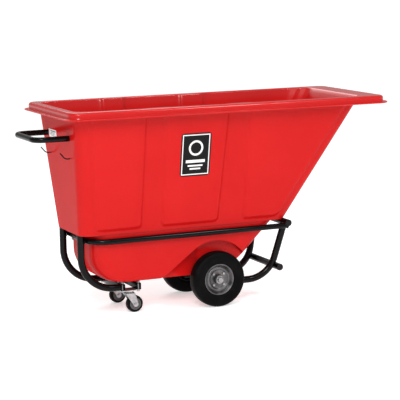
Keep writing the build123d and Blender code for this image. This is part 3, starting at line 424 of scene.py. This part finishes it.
def arch_block(grow):
    # the room for both wheels: round over the tyre, then a straight fall to the rear
    radius, back_y = ARCH_RADIUS + grow, ARCH_BACK_Y - grow
    top = pi / 2 + ARCH_FALL
    outline = [(axle_x + radius * cos(a), axle_z + radius * sin(a))
               for a in np.linspace(-ARCH_DIP, top, ARCH_COLUMNS)]
    end_x, end_z = outline[-1]
    fall_x = end_x - ARCH_FLARE * cos(ARCH_FALL)
    outline.append((fall_x, end_z - ARCH_FLARE * sin(ARCH_FALL)))
    outline.append((fall_x, axle_z - radius * sin(ARCH_DIP)))
    mesh = bmesh.new()
    for sign in (1, -1):
        near = [mesh.verts.new((x, sign * back_y, z)) for x, z in outline]
        far = [mesh.verts.new((x, sign * (LIP_HALF + ARCH_PAST_LIP), z)) for x, z in outline]
        back = mesh.faces.new(near)
        mesh.faces.new(far)
        for i in range(len(outline)):
            j = (i + 1) % len(outline)
            mesh.faces.new((near[i], near[j], far[j], far[i]))
        bmesh.ops.bevel(mesh, geom=list(back.edges), offset=ARCH_ROUND, segments=4, profile=0.5,
                        affect="EDGES")
    bmesh.ops.recalc_face_normals(mesh, faces=mesh.faces)
    return mesh


def link(name, mesh):
    # a new object in the scene, from a mesh or from one that is still being built
    data = mesh
    if isinstance(mesh, bmesh.types.BMesh):
        data = bpy.data.meshes.new(name)
        mesh.to_mesh(data)
        mesh.free()
    made = bpy.data.objects.new(name, data)
    bpy.context.scene.collection.objects.link(made)
    return made


def settle(made):
    # the object's modifiers become its mesh
    bpy.context.view_layer.update()
    done = made.evaluated_get(bpy.context.evaluated_depsgraph_get())
    data = bpy.data.meshes.new_from_object(done)
    made.modifiers.clear()
    made.data = data
    return made


def cut(body, tool):
    # take the tool's shape out of the body; the tool is used up
    knife = body.modifiers.new("cut", "BOOLEAN")
    knife.operation, knife.solver, knife.object = "DIFFERENCE", "EXACT", tool
    settle(body)
    bpy.data.objects.remove(tool)
    return body


def smooth(made, angle=SHARP_ANGLE):
    made.data.shade_smooth()
    made.data.set_sharp_from_angle(angle=angle)
    return made


def finish_piece(made, finish, body, slot, *nodes):
    # paint a new piece and put it on its body in place of the plain solids
    made.data.materials.clear()
    made.data.materials.append(finish.material)
    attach(made, body)
    if nodes:
        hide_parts(*nodes)
    return made


hopper = cut(link("hopper_shell", outside), link("arch_cutter", arch_block(0.0)))
room = cut(link("hopper_room", cavity), link("arch_inner", arch_block(WALL)))
hopper = smooth(cut(hopper, room))

RED_DEEP, RED_BRIGHT = (0.520, 0.0070, 0.0070), (0.560, 0.0095, 0.0092)
RED_SPECK, RED_SCUFFED = (0.46, 0.006, 0.006), (0.70, 0.09, 0.085)
SPECK_SHARE, SCUFF_SHARE = 0.22, 0.20
POLISH_START, POLISH_FULL, WALL_GLOSS, RIM_GLOSS = 0.880, 0.910, 0.24, 0.65
red = Finish("red_polyethylene", IOR=1.40, Specular_IOR_Level=0.0, Coat_Roughness=0.18, Coat_IOR=1.5)
mottle = red.noise(3.5, 4.0)
speckle = red.noise(260.0, 3.0)
scuff_lines = red.ramp(red.noise(14.0, 5.0, (9.0, 9.0, 0.55), 0.7), 0.64, 0.72)
scuff_zone = red.ramp(red.noise(4.0, 2.0), 0.50, 0.66)
scuff = scuff_lines * scuff_zone
tone = red.mix(red.ramp(mottle, 0.3, 0.7), RED_DEEP, RED_BRIGHT)
tone = red.mix(red.ramp(speckle, 0.35, 0.75) * SPECK_SHARE, tone, RED_SPECK)
tone = red.mix(scuff * SCUFF_SHARE, tone, RED_SCUFFED)
red.set("Base Color", tone)
red.set("Roughness", red.ramp(mottle, 0.25, 0.75) * 0.09 + 0.31 + scuff * 0.18
        + red.ramp(speckle, 0.3, 0.8) * 0.05)
# hands and lids keep the rim polished
red.set("Coat Weight", red.ramp(red.height(), POLISH_START, POLISH_FULL) * RIM_GLOSS + WALL_GLOSS)
red.bump((red.noise(1.6, 1.0), 0.006), (red.noise(420.0, 3.0), 0.00025), (scuff, -0.0001))
finish_piece(hopper, red, "truck", "hopper_plastic", "hopper")


# ---- Frame ----
# Round steel tube, bent and welded, under a thick glossy black powder coat: the hoop the hopper
# hangs in, front and rear bows, cross tube, tipping bar, caster beams, axle saddles, and the push
# handle that is bolted to the rear wall.
MERGE_GAP, FLAT_ANGLE, SOFT_ANGLE = 1e-6, radians(1.5), radians(40)
EDGE_ANGLE, PRESSED_EDGE = radians(30), 0.0009
COAT_BLACK, COAT_DUSTY = (0.0022, 0.0023, 0.0026), (0.010, 0.0097, 0.0093)
PEEL_ON_TUBE, PEEL_ON_WELD = 0.00012, 0.00030


def painted(finish, *nodes):
    # plain solids that are shown as they are take this finish
    for node in nodes:
        for material_slot in frame["nodes"][node].material_slots:
            material_slot.material = finish.material


def softened(name, node, width):
    # a copy of a plain solid with its sharp edges broken by a small bevel
    mesh = bmesh.new()
    mesh.from_mesh(frame["nodes"][node].data)
    bmesh.ops.remove_doubles(mesh, verts=mesh.verts, dist=MERGE_GAP)
    bmesh.ops.dissolve_limit(mesh, angle_limit=FLAT_ANGLE, verts=mesh.verts, edges=mesh.edges)
    made = link(name, mesh)
    bevel = made.modifiers.new("broken_edges", "BEVEL")
    bevel.width, bevel.segments = width, 2
    bevel.limit_method, bevel.angle_limit = "ANGLE", EDGE_ANGLE
    return smooth(settle(made), SOFT_ANGLE)


def powder_coat(name, peel):
    coat = Finish(name, IOR=1.5, Specular_IOR_Level=0.04, Coat_Roughness=0.07, Coat_IOR=1.5)
    cloud = coat.noise(9.0, 3.0)
    dust = coat.ramp(coat.noise(60.0, 4.0), 0.55, 0.85) * coat.ramp(cloud, 0.4, 0.8)
    coat.set("Base Color", coat.mix(dust * 0.35, COAT_BLACK, COAT_DUSTY))
    coat.set("Roughness", coat.ramp(cloud, 0.2, 0.8) * 0.08 + 0.20 + dust * 0.2)
    coat.set("Coat Weight", 0.20 - dust * 0.15)
    coat.bump((coat.noise(330.0, 2.0), peel), (cloud, 0.0004))
    return coat


black_coat = powder_coat("black_powder_coat", PEEL_ON_TUBE)
bead_coat = powder_coat("black_coat_on_weld", PEEL_ON_WELD)
painted(black_coat, "hoop_rail", "top_cross_tube", "tip_bar", "handle", "front_bow_left",
        "front_bow_right", "rear_bow_left", "rear_bow_right")
for node in ("caster_beam_front", "caster_beam_rear", "axle_saddle_left", "axle_saddle_right",
             "hopper_tabs"):
    coated = softened(node + "_coated", node, PRESSED_EDGE)
    finish_piece(coated, black_coat, "truck", "frame_paint", node)


# ---- Weld beads ----
# One rippled steel bead runs round each place where a tube is coped onto another. It is laid by hand
# before the frame is painted, and takes a rougher coat than the tubes do.
BEAD_RADIUS, BEAD_STEP, BEAD_RIPPLE = 0.0021, 0.0011, 0.22
FRAME_TUBE, RAIL_TUBE = 0.015875, 0.0127
BOW_TOP_Y, BOW_LEG_RUN, CROSS_TO_SEAM = 0.152, 0.065, 0.03
SEAM_STEPS, POST_SEAM_STEPS, POST_SEAM_WIDE, POST_SEAM_TALL = 72, 40, 0.55, 0.86
BEAD_SIDES, RIPPLE_PHASE, BEAD_ANGLE = 8, 2.1, radians(60)


def bead_tree():
    # a round bead along the seams' edges, thicker and thinner by turns
    tree = bpy.data.node_groups.new("weld_bead", "GeometryNodeTree")
    sockets = {}
    for name, kind in (("Seams", "Geometry"), ("Radius", "Float"), ("Step", "Float"),
                       ("Ripple", "Float"), ("Material", "Material")):
        sockets[name] = tree.interface.new_socket(name, in_out="INPUT",
                                                  socket_type="NodeSocket" + kind)
    tree.interface.new_socket("Beads", in_out="OUTPUT", socket_type="NodeSocketGeometry")

    def add(kind, **settings):
        node = tree.nodes.new(kind)
        for key, setting in settings.items():
            setattr(node, key, setting)
        return node

    start, end = add("NodeGroupInput"), add("NodeGroupOutput")
    curve = add("GeometryNodeMeshToCurve")
    resample = add("GeometryNodeResampleCurve", mode="LENGTH")
    index = add("GeometryNodeInputIndex")
    phase = add("ShaderNodeMath", operation="MULTIPLY")
    phase.inputs[1].default_value = RIPPLE_PHASE
    wave = add("ShaderNodeMath", operation="SINE")
    scaled = add("ShaderNodeMath", operation="MULTIPLY")
    thick = add("ShaderNodeMath", operation="ADD")
    thick.inputs[1].default_value = 1.0
    circle = add("GeometryNodeCurvePrimitiveCircle")
    circle.inputs["Resolution"].default_value = BEAD_SIDES
    tube = add("GeometryNodeCurveToMesh")
    shade = add("GeometryNodeSetShadeSmooth")
    real = add("GeometryNodeRealizeInstances")
    paint = add("GeometryNodeSetMaterial")
    for source, target in ((start.outputs["Seams"], curve.inputs["Mesh"]),
                           (curve.outputs[0], resample.inputs["Curve"]),
                           (start.outputs["Step"], resample.inputs["Length"]),
                           (index.outputs[0], phase.inputs[0]),
                           (phase.outputs[0], wave.inputs[0]),
                           (wave.outputs[0], scaled.inputs[0]),
                           (start.outputs["Ripple"], scaled.inputs[1]),
                           (scaled.outputs[0], thick.inputs[0]),
                           (resample.outputs[0], tube.inputs["Curve"]),
                           (thick.outputs[0], tube.inputs["Scale"]),
                           (start.outputs["Radius"], circle.inputs["Radius"]),
                           (circle.outputs[0], tube.inputs["Profile Curve"]),
                           (tube.outputs[0], shade.inputs[0]),
                           (shade.outputs[0], real.inputs[0]),
                           (real.outputs[0], paint.inputs["Geometry"]),
                           (start.outputs["Material"], paint.inputs["Material"]),
                           (paint.outputs[0], end.inputs[0])):
        tree.links.new(source, target)
    return tree, {name: socket.identifier for name, socket in sockets.items()}


def cope_seam(foot, along, radius, axis_point, axis, other_radius):
    # the closed line where a tube of this radius, from foot and running along, leaves another tube
    along, axis = Vector(along).normalized(), Vector(axis).normalized()
    side = along.orthogonal().normalized()
    other = along.cross(side)
    points = []
    for n in range(SEAM_STEPS):
        a = 2 * pi * n / SEAM_STEPS
        start = Vector(foot) + (side * cos(a) + other * sin(a)) * radius - Vector(axis_point)
        flat_start, flat_along = start - axis * start.dot(axis), along - axis * along.dot(axis)
        b, c = flat_start.dot(flat_along), flat_start.length_squared - other_radius ** 2
        root = max(b * b - flat_along.length_squared * c, 0.0)
        reach = along * (-b + sqrt(root)) / flat_along.length_squared
        points.append(start + reach + Vector(axis_point))
    return points


cross_low, cross_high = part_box("top_cross_tube")
cross = (cross_low + cross_high) / 2
hoop_low, hoop_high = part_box("hoop_rail")
hoop_z, hoop_rear_x = (hoop_low.z + hoop_high.z) / 2, hoop_low.x + RAIL_TUBE
seams = []
for sign, side_name in ((1, "left"), (-1, "right")):
    rail_end = (cross.x - CROSS_TO_SEAM, sign * (hoop_high.y - RAIL_TUBE), hoop_z)
    seams.append(cope_seam(rail_end, (-1, 0, 0), RAIL_TUBE, cross, (0, 1, 0), FRAME_TUBE))
    post_low, post_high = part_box("rear_bow_" + side_name)
    post_y, post_seam_x = (post_low.y + post_high.y) / 2, hoop_rear_x - RAIL_TUBE * POST_SEAM_TALL
    seams.append([Vector((post_seam_x, post_y + POST_SEAM_WIDE * cos(t) * FRAME_TUBE,
                          hoop_z + POST_SEAM_TALL * sin(t) * RAIL_TUBE))
                  for t in np.linspace(0, 2 * pi, POST_SEAM_STEPS, endpoint=False)])
    bow_low, bow_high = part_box("front_bow_" + side_name)
    inner_y = min(abs(bow_low.y), abs(bow_high.y)) + FRAME_TUBE
    top = Vector((cross.x, sign * BOW_TOP_Y, cross.z))
    knee = Vector((cross.x - BOW_LEG_RUN, sign * inner_y, bow_low.z + FRAME_TUBE))
    seams.append(cope_seam(top, knee - top, FRAME_TUBE, cross, (0, 1, 0), FRAME_TUBE))
seam_mesh = bpy.data.meshes.new("frame_welds")
corners, edges = [], []
for seam in seams:
    first = len(corners)
    corners += [tuple(point) for point in seam]
    edges += [(first + i, first + (i + 1) % len(seam)) for i in range(len(seam))]
seam_mesh.from_pydata(corners, edges, [])
welds = link("frame_welds", seam_mesh)
tree, ids = bead_tree()
bead = welds.modifiers.new("bead", "NODES")
bead.node_group = tree
for name, value in (("Radius", BEAD_RADIUS), ("Step", BEAD_STEP), ("Ripple", BEAD_RIPPLE),
                    ("Material", bead_coat.material)):
    bead[ids[name]] = value
settle(welds)
finish_piece(smooth(welds, BEAD_ANGLE), bead_coat, "truck", "frame_paint")


# ---- Tube plugs ----
# Domed black polyethylene plugs, pushed into the open ends of the cross tube, the tipping bar and the
# lower bows, where they hold by friction alone.
PLUG_DARK, PLUG_PALE, PLUG_EDGE = (0.004, 0.004, 0.0044), (0.008, 0.008, 0.0084), 0.0006
plug_black = Finish("black_polyethylene", IOR=1.5, Specular_IOR_Level=0.2)
plug_black.set("Base Color", plug_black.mix(plug_black.noise(80.0, 3.0), PLUG_DARK, PLUG_PALE))
plug_black.set("Roughness", plug_black.noise(150.0, 3.0) * 0.2 + 0.32)
plug_black.bump((plug_black.noise(900.0, 2.0), 0.0001))
finish_piece(softened("tube_plugs_domed", "tube_plugs", PLUG_EDGE), plug_black, "truck",
             "plug_plastic", "tube_plugs")


# ---- Big wheels ----
# Ten-inch wheels: a smooth solid rubber tyre clamped between two pressed rim halves, the outer half
# zinc-plated and the inner half black as painted shade for the shaded inside of the wheel, with four
# bolts and a hub with two bearings. Each wheel turns on the fixed axle.
TYRE_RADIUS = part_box("wheel_left_tyre")[1].z - axle_z
WHEEL_Y = abs(joints["wheel_left_spin"]["pos_m"][1])
RIM_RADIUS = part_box("wheel_left_rim_outer")[1].z - axle_z
RIM_FLANGE_Y, RIM_FACE_Y, SHEET, SHEET_ROUND = 0.025, 0.014, 0.0025, 0.0022
HUB_BORE, RING_RADIUS, RING_HEIGHT = 0.0205, 0.050, 0.004
CONE_FOOT_IN, CONE_TOP_IN = 0.0125, 0.005
# steps round a turn, and the angles in degrees past which an edge shows
TURN_STEPS, TYRE_ANGLE, RIM_ANGLE = 96, 45, 30
# the tyre's half section as (radius, distance from its middle), with two raised lines on the sidewall
SIDEWALL = [(RIM_RADIUS - 0.009, 0.0105), (RIM_RADIUS - 0.0045, 0.0215),
            (RIM_RADIUS + 0.0006, 0.0220), (RIM_RADIUS + 0.0012, 0.0262), (0.0765, 0.0292),
            (0.088, 0.0326), (0.100, 0.0338), (0.110, 0.0334), (0.1180, 0.0308), (0.1236, 0.0255),
            (0.1262, 0.0165), (TYRE_RADIUS, 0.0060), (TYRE_RADIUS, 0.0)]
SIDEWALL_LINES, LINE_HEIGHT, LINE_WIDTH, LINES_FROM_Y = (0.0815, 0.1135), 0.0007, 0.0012, 0.02
TYRE_BLACK = 0.0028
RIM_DARK, RIM_BRIGHT, BOLT_DARK, BOLT_BRIGHT = 0.09, 0.19, 0.32, 0.50
CAP_DARK, CAP_BRIGHT, PEEL_ON_RIM = 0.26, 0.42, 0.00010


def flowing(points, steps):
    # a smooth line through the points
    points = [np.array(point, float) for point in points]
    line = []
    for i in range(len(points) - 1):
        before, after = points[max(i - 1, 0)], points[min(i + 2, len(points) - 1)]
        for t in np.linspace(0, 1, steps, endpoint=False):
            a, b = points[i], points[i + 1]
            bend = 2 * before - 5 * a + 4 * b - after
            twist = 3 * a - before - 3 * b + after
            line.append(0.5 * (2 * a + (b - before) * t + bend * t * t + twist * t ** 3))
    line.append(points[-1])
    return line


def rounded(points, radius, steps=4):
    # a closed outline with each corner rounded, by no more than its shorter side allows
    points = [np.array(point, float) for point in points]
    line = []
    for i, point in enumerate(points):
        back, ahead = points[i - 1] - point, points[(i + 1) % len(points)] - point
        reach = min(radius, 0.42 * np.linalg.norm(back), 0.42 * np.linalg.norm(ahead))
        start = point + back / np.linalg.norm(back) * reach
        stop = point + ahead / np.linalg.norm(ahead) * reach
        for t in np.linspace(0, 1, steps):
            line.append((1 - t) ** 2 * start + 2 * t * (1 - t) * point + t * t * stop)
    return line


def turned(name, outline, centre, angle, steps=TURN_STEPS):
    # a ring turned about a wheel's axle; outline points are (radius, distance along Y)
    mesh = bmesh.new()
    rows = []
    for n in range(steps):
        a = 2 * pi * n / steps
        rows.append([mesh.verts.new((centre[0] + r * cos(a), centre[1] + y, centre[2] + r * sin(a)))
                     for r, y in outline])
    for n in range(steps):
        for i in range(len(outline)):
            j = (i + 1) % len(outline)
            after = rows[(n + 1) % steps]
            mesh.faces.new((rows[n][i], rows[n][j], after[j], after[i]))
    bmesh.ops.remove_doubles(mesh, verts=mesh.verts, dist=MERGE_GAP)
    bmesh.ops.recalc_face_normals(mesh, faces=mesh.faces)
    return smooth(link(name, mesh), radians(angle))


def mirrored(half):
    # the other half of a section, in reverse
    return list(half) + [(r, -y) for r, y in reversed(list(half))]


def from_axle(finish, centre):
    # distance from a wheel's axle
    place = finish.add("ShaderNodeVectorMath", {"operation": "SUBTRACT"}, finish.place, tuple(centre))
    x = finish.add("ShaderNodeSeparateXYZ", {}, place)
    z = x.out("Z")
    return (x * x + z * z) ** 0.5


def rubber(name, centre, shade):
    # black rubber with fine rings from the mould, a grain, and grey dust in patches
    finish = Finish(name, IOR=1.4, Specular_IOR_Level=0.06)
    radius = from_axle(finish, centre)
    grain, wear = finish.noise(700.0, 2.0), finish.noise(22.0, 4.0)
    dust = finish.ramp(wear, 0.42, 0.75) * 0.5
    clean, dusty = (shade, shade, shade * 1.06), (shade * 3, shade * 2.9, shade * 2.7)
    finish.set("Base Color", finish.mix(dust, clean, dusty))
    finish.set("Roughness", finish.ramp(wear, 0.3, 0.8) * 0.16 + 0.44)
    turns = radius * 2200.0
    finish.bump((turns.math("SINE", turns), 0.00006), (grain, 0.00018))
    return finish


def zinc(name, centre, low, high):
    # zinc plate between a dark and a bright grey, with faint crystals and the rings left by turning
    finish = Finish(name)
    radius = from_axle(finish, centre)
    crystals = finish.add("ShaderNodeTexVoronoi", {"feature": "F1"}, Vector=finish.place, Scale=160.0)
    cloud = finish.noise(26.0, 4.0)
    lines = finish.add("ShaderNodeTexNoise", {"noise_dimensions": "1D"}, W=radius * 900.0, Detail=2.0)
    tone = finish.mix(finish.ramp(cloud, 0.3, 0.7), (low, low, low * 1.02), (high, high, high * 1.01))
    shadow = (low * 0.7, low * 0.7, low * 0.72)
    tone = finish.mix(finish.ramp(crystals, 0.0, 0.8) * 0.25, tone, shadow)
    finish.set("Base Color", tone)
    finish.set("Metallic", finish.ramp(cloud, 0.0, 0.4) * 0.1 + 0.88)
    finish.set("Roughness", lines * 0.14 + finish.ramp(cloud, 0.3, 0.8) * 0.16 + 0.24)
    finish.bump((lines, 0.00008), (cloud, 0.0006))
    return finish


for side_name, sign in (("left", 1), ("right", -1)):
    body, centre = "wheel_" + side_name, (axle_x, sign * WHEEL_Y, axle_z)
    half = flowing(SIDEWALL[:2], 2)[:-1] + flowing(SIDEWALL[1:4], 3)[:-1] + flowing(SIDEWALL[3:], 8)
    half = [(r, y + sum(LINE_HEIGHT * np.exp(-((r - line) / LINE_WIDTH) ** 2)
                        for line in SIDEWALL_LINES if y > LINES_FROM_Y)) for r, y in half]
    tyre_rubber = rubber("tyre_rubber_" + side_name, centre, TYRE_BLACK)
    tyre = turned(body + "_tyre_rubber", mirrored(half[:-1]), centre, TYRE_ANGLE)
    finish_piece(tyre, tyre_rubber, body, "tyre_rubber", body + "_tyre")
    rim_zinc = zinc("rim_zinc_" + side_name, centre, RIM_DARK, RIM_BRIGHT)
    skin = [(HUB_BORE, RIM_FACE_Y), (RING_RADIUS - 2 * RING_HEIGHT, RIM_FACE_Y),
            (RING_RADIUS - RING_HEIGHT, RIM_FACE_Y + RING_HEIGHT),
            (RING_RADIUS + RING_HEIGHT, RIM_FACE_Y + RING_HEIGHT),
            (RING_RADIUS + 2 * RING_HEIGHT, RIM_FACE_Y), (RIM_RADIUS - CONE_FOOT_IN, RIM_FACE_Y),
            (RIM_RADIUS - CONE_TOP_IN, RIM_FLANGE_Y), (RIM_RADIUS, RIM_FLANGE_Y)]
    under = [(RIM_RADIUS, RIM_FLANGE_Y - SHEET)] + [(r, y - SHEET) for r, y in reversed(skin[:-1])]
    outline = rounded(skin + under, SHEET_ROUND)
    # the inner rim half takes a black coat as painted shade, standing for the shadow inside the wheel
    painted_shade_black = powder_coat("rim_inner_coat_" + side_name, PEEL_ON_RIM)
    for half_name, out, finish in (("outer", sign, rim_zinc), ("inner", -sign, painted_shade_black)):
        node = body + "_rim_" + half_name
        pressing = turned(node + "_pressing", [(r, out * y) for r, y in outline], centre, RIM_ANGLE)
        finish_piece(pressing, finish, body, "galvanised_rim", node)
    painted(rim_zinc, body + "_hub")
    bolt_zinc = zinc("rim_bolt_zinc_" + side_name, centre, BOLT_DARK, BOLT_BRIGHT)
    bolts = body + "_rim_bolts"
    finish_piece(softened(bolts + "_plated", bolts, 0.0007), bolt_zinc, body, "fastener_zinc", bolts)
    painted(bolt_zinc, body + "_bearings")
cap_zinc = zinc("axle_end_zinc", (axle_x, 0.0, axle_z), CAP_DARK, CAP_BRIGHT)
for node, width in (("axle_caps", 0.0008), ("axle_washers", 0.0004), ("axle_spacers", 0.0004)):
    finish_piece(softened(node + "_plated", node, width), cap_zinc, "truck", "fastener_zinc", node)
painted(cap_zinc, "axle")


# ---- Casters ----
# Three-inch swivel casters: zinc-plated top plate and fork with a ball race between them, a grey
# moulded core with a black rubber tread, a nylon bush, and a bolt through the fork as the axle.
CASTER_DARK, CASTER_BRIGHT, TREAD_BLACK = 0.38, 0.60, 0.0050
TREAD_STEPS, TREAD_ANGLE = 72, 40
CORE_DARK, CORE_PALE = (0.070, 0.070, 0.074), (0.105, 0.105, 0.110)
BUSH_DARK, BUSH_PALE = (0.60, 0.58, 0.52), (0.70, 0.68, 0.62)
plate_zinc = zinc("caster_zinc", (0.0, 0.0, 0.0), CASTER_DARK, CASTER_BRIGHT)
core_grey = Finish("caster_core_grey", IOR=1.5)
core_grey.set("Base Color", core_grey.mix(core_grey.noise(60.0, 3.0), CORE_DARK, CORE_PALE))
core_grey.set("Roughness", core_grey.noise(300.0, 2.0) * 0.15 + 0.38)
core_grey.bump((core_grey.noise(800.0, 2.0), 0.00012))
bush_cream = Finish("bush_nylon", IOR=1.5)
bush_cream.set("Base Color", bush_cream.mix(bush_cream.noise(90.0), BUSH_DARK, BUSH_PALE))
bush_cream.set("Roughness", bush_cream.noise(400.0) * 0.1 + 0.35)
for side_name in ("left", "right"):
    base = "caster_" + side_name
    wheel, swivel, spin = base + "_wheel", base + "_swivel", joints[base + "_wheel_spin"]["pos_m"]
    low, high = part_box(base + "_tread")
    outer, half_width = (high.z - low.z) / 2, (high.y - low.y) / 2
    core_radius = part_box(base + "_core")[1].z - spin[2]
    section = [(core_radius, half_width - 0.0004), (core_radius + 0.003, half_width),
               (outer - 0.0042, half_width - 0.0006), (outer - 0.0012, half_width - 0.0040),
               (outer, half_width - 0.0085), (outer, 0.0)]
    section = mirrored(flowing(section, 5)[:-1])
    tread_rubber = rubber(base + "_tread_rubber", spin, TREAD_BLACK)
    tread = turned(base + "_tread_moulded", section, spin, TREAD_ANGLE, TREAD_STEPS)
    finish_piece(tread, tread_rubber, wheel, "tread_rubber", base + "_tread")
    for part, made_how, width, finish, body, slot in (
            ("_core", "_moulded", 0.0008, core_grey, wheel, "caster_core_plastic"),
            ("_fork", "_pressed", 0.0008, plate_zinc, swivel, "zinc_plate"),
            ("_plate", "_pressed", 0.0009, plate_zinc, "truck", "zinc_plate"),
            ("_axle_bolt", "_plated", 0.0005, plate_zinc, swivel, "fastener_zinc")):
        node = base + part
        finish_piece(softened(node + made_how, node, width), finish, body, slot, node)
    painted(bush_cream, base + "_bush")
    painted(plate_zinc, base + "_kingpin", base + "_balls")


# ---- Bolts, nuts and spacers ----
# Zinc-plated hexagon bolts and nuts hold the caster plates to their beams, the hopper to its tabs,
# and the handle and hooks to the rear wall. The handle's bolts run into black inserts in its ends.
for node, width in (("caster_plate_bolts", 0.0006), ("hopper_bolts", 0.0005), ("hopper_nuts", 0.0005),
                    ("hopper_spacers", 0.0005), ("handle_bolts", 0.0006), ("hook_nuts", 0.0004)):
    finish_piece(softened(node + "_plated", node, width), cap_zinc, "truck", "fastener_zinc", node)
painted(plug_black, "handle_inserts")


# ---- Hooks ----
# Two bent wire hooks in a soft black coating, each pushed through the rear wall below the handle and
# held by a nut inside.
HOOK_DARK, HOOK_PALE = (0.002, 0.002, 0.002), (0.004, 0.004, 0.004)
hook_black = Finish("hook_coating", IOR=1.4, Specular_IOR_Level=0.08)
hook_black.set("Base Color", hook_black.mix(hook_black.noise(120.0), HOOK_DARK, HOOK_PALE))
hook_black.set("Roughness", hook_black.noise(260.0) * 0.2 + 0.30)
hook_black.bump((hook_black.noise(500.0), 0.0002))
painted(hook_black, "hook_left", "hook_right")


# ---- Stickers ----
# Printed vinyl: an upright black label with a white line, a ring and bars on the side, and a small
# white one with grey bars on the rear wall. Both carry plain shapes only.
LABEL_BLACK, LABEL_WHITE = (0.005, 0.005, 0.0055), (0.82, 0.82, 0.81)
TAG_WHITE, TAG_GREY = (0.84, 0.84, 0.83), (0.16, 0.16, 0.17)
# half widths, and places from the label's middle
LINE_INSET, LINE_HALF = 0.0085, 0.0022
RING_RISE, RING_REACH, RING_HALF = 0.030, 0.030, 0.0045
LABEL_BARS = ((-0.030, 0.0065, 0.046), (-0.050, 0.0035, 0.036), (-0.064, 0.0035, 0.026))
TAG_BARS = ((0.002, 0.026), (-0.004, 0.034), (-0.010, 0.020))
TAG_BAR_HALF, TAG_HEAD_RISE, TAG_HEAD_HALF = 0.0012, 0.010, 0.0025
TAG_HEAD_ACROSS, TAG_HEAD_REACH = -0.008, 0.034


def label_finish(name, node, face_axis):
    # vinyl, with the distances along and up from the label's middle and half its size in each
    finish = Finish(name, IOR=1.5, Specular_IOR_Level=0.12)
    low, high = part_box(node)
    centre, half = (low + high) / 2, (high - low) / 2
    place = finish.add("ShaderNodeVectorMath", {"operation": "SUBTRACT"}, finish.place, tuple(centre))
    parts = finish.add("ShaderNodeSeparateXYZ", {}, place)
    return finish, parts.out("XYZ"[face_axis]), parts.out("Z"), half[face_axis], half.z


def band(value, middle, half):
    # 1 inside a band of this half width, 0 outside
    return (value - middle).abs() < half


label, across, rise, half_across, half_rise = label_finish("side_label_print", "side_sticker", 0)
inset_x, inset_z = half_across - across.abs(), half_rise - rise.abs()
shape = band(inset_x.math("MINIMUM", inset_x, inset_z), LINE_INSET, LINE_HALF)
from_ring = (across * across + (rise - RING_RISE) * (rise - RING_RISE)) ** 0.5
shape = shape | band(from_ring, RING_REACH, RING_HALF)
for bar_rise, bar_half, bar_reach in LABEL_BARS:
    shape = shape | band(rise, bar_rise, bar_half) * band(across, 0.0, bar_reach)
label.set("Base Color", label.mix(shape, LABEL_BLACK, LABEL_WHITE))
label.set("Roughness", label.noise(300.0) * 0.12 + 0.26)
label.bump((label.noise(60.0), 0.0002))
painted(label, "side_sticker")

tag, across, rise, *_ = label_finish("rear_label_print", "rear_sticker", 1)
shape = band(rise, TAG_HEAD_RISE, TAG_HEAD_HALF) * band(across, TAG_HEAD_ACROSS, TAG_HEAD_REACH)
for bar_rise, bar_reach in TAG_BARS:
    shape = shape | band(rise, bar_rise, TAG_BAR_HALF) * band(across, 0.0, bar_reach)
tag.set("Base Color", tag.mix(shape, TAG_WHITE, TAG_GREY))
tag.set("Roughness", tag.noise(300.0) * 0.12 + 0.30)
tag.bump((tag.noise(60.0), 0.0002))
painted(tag, "rear_sticker")
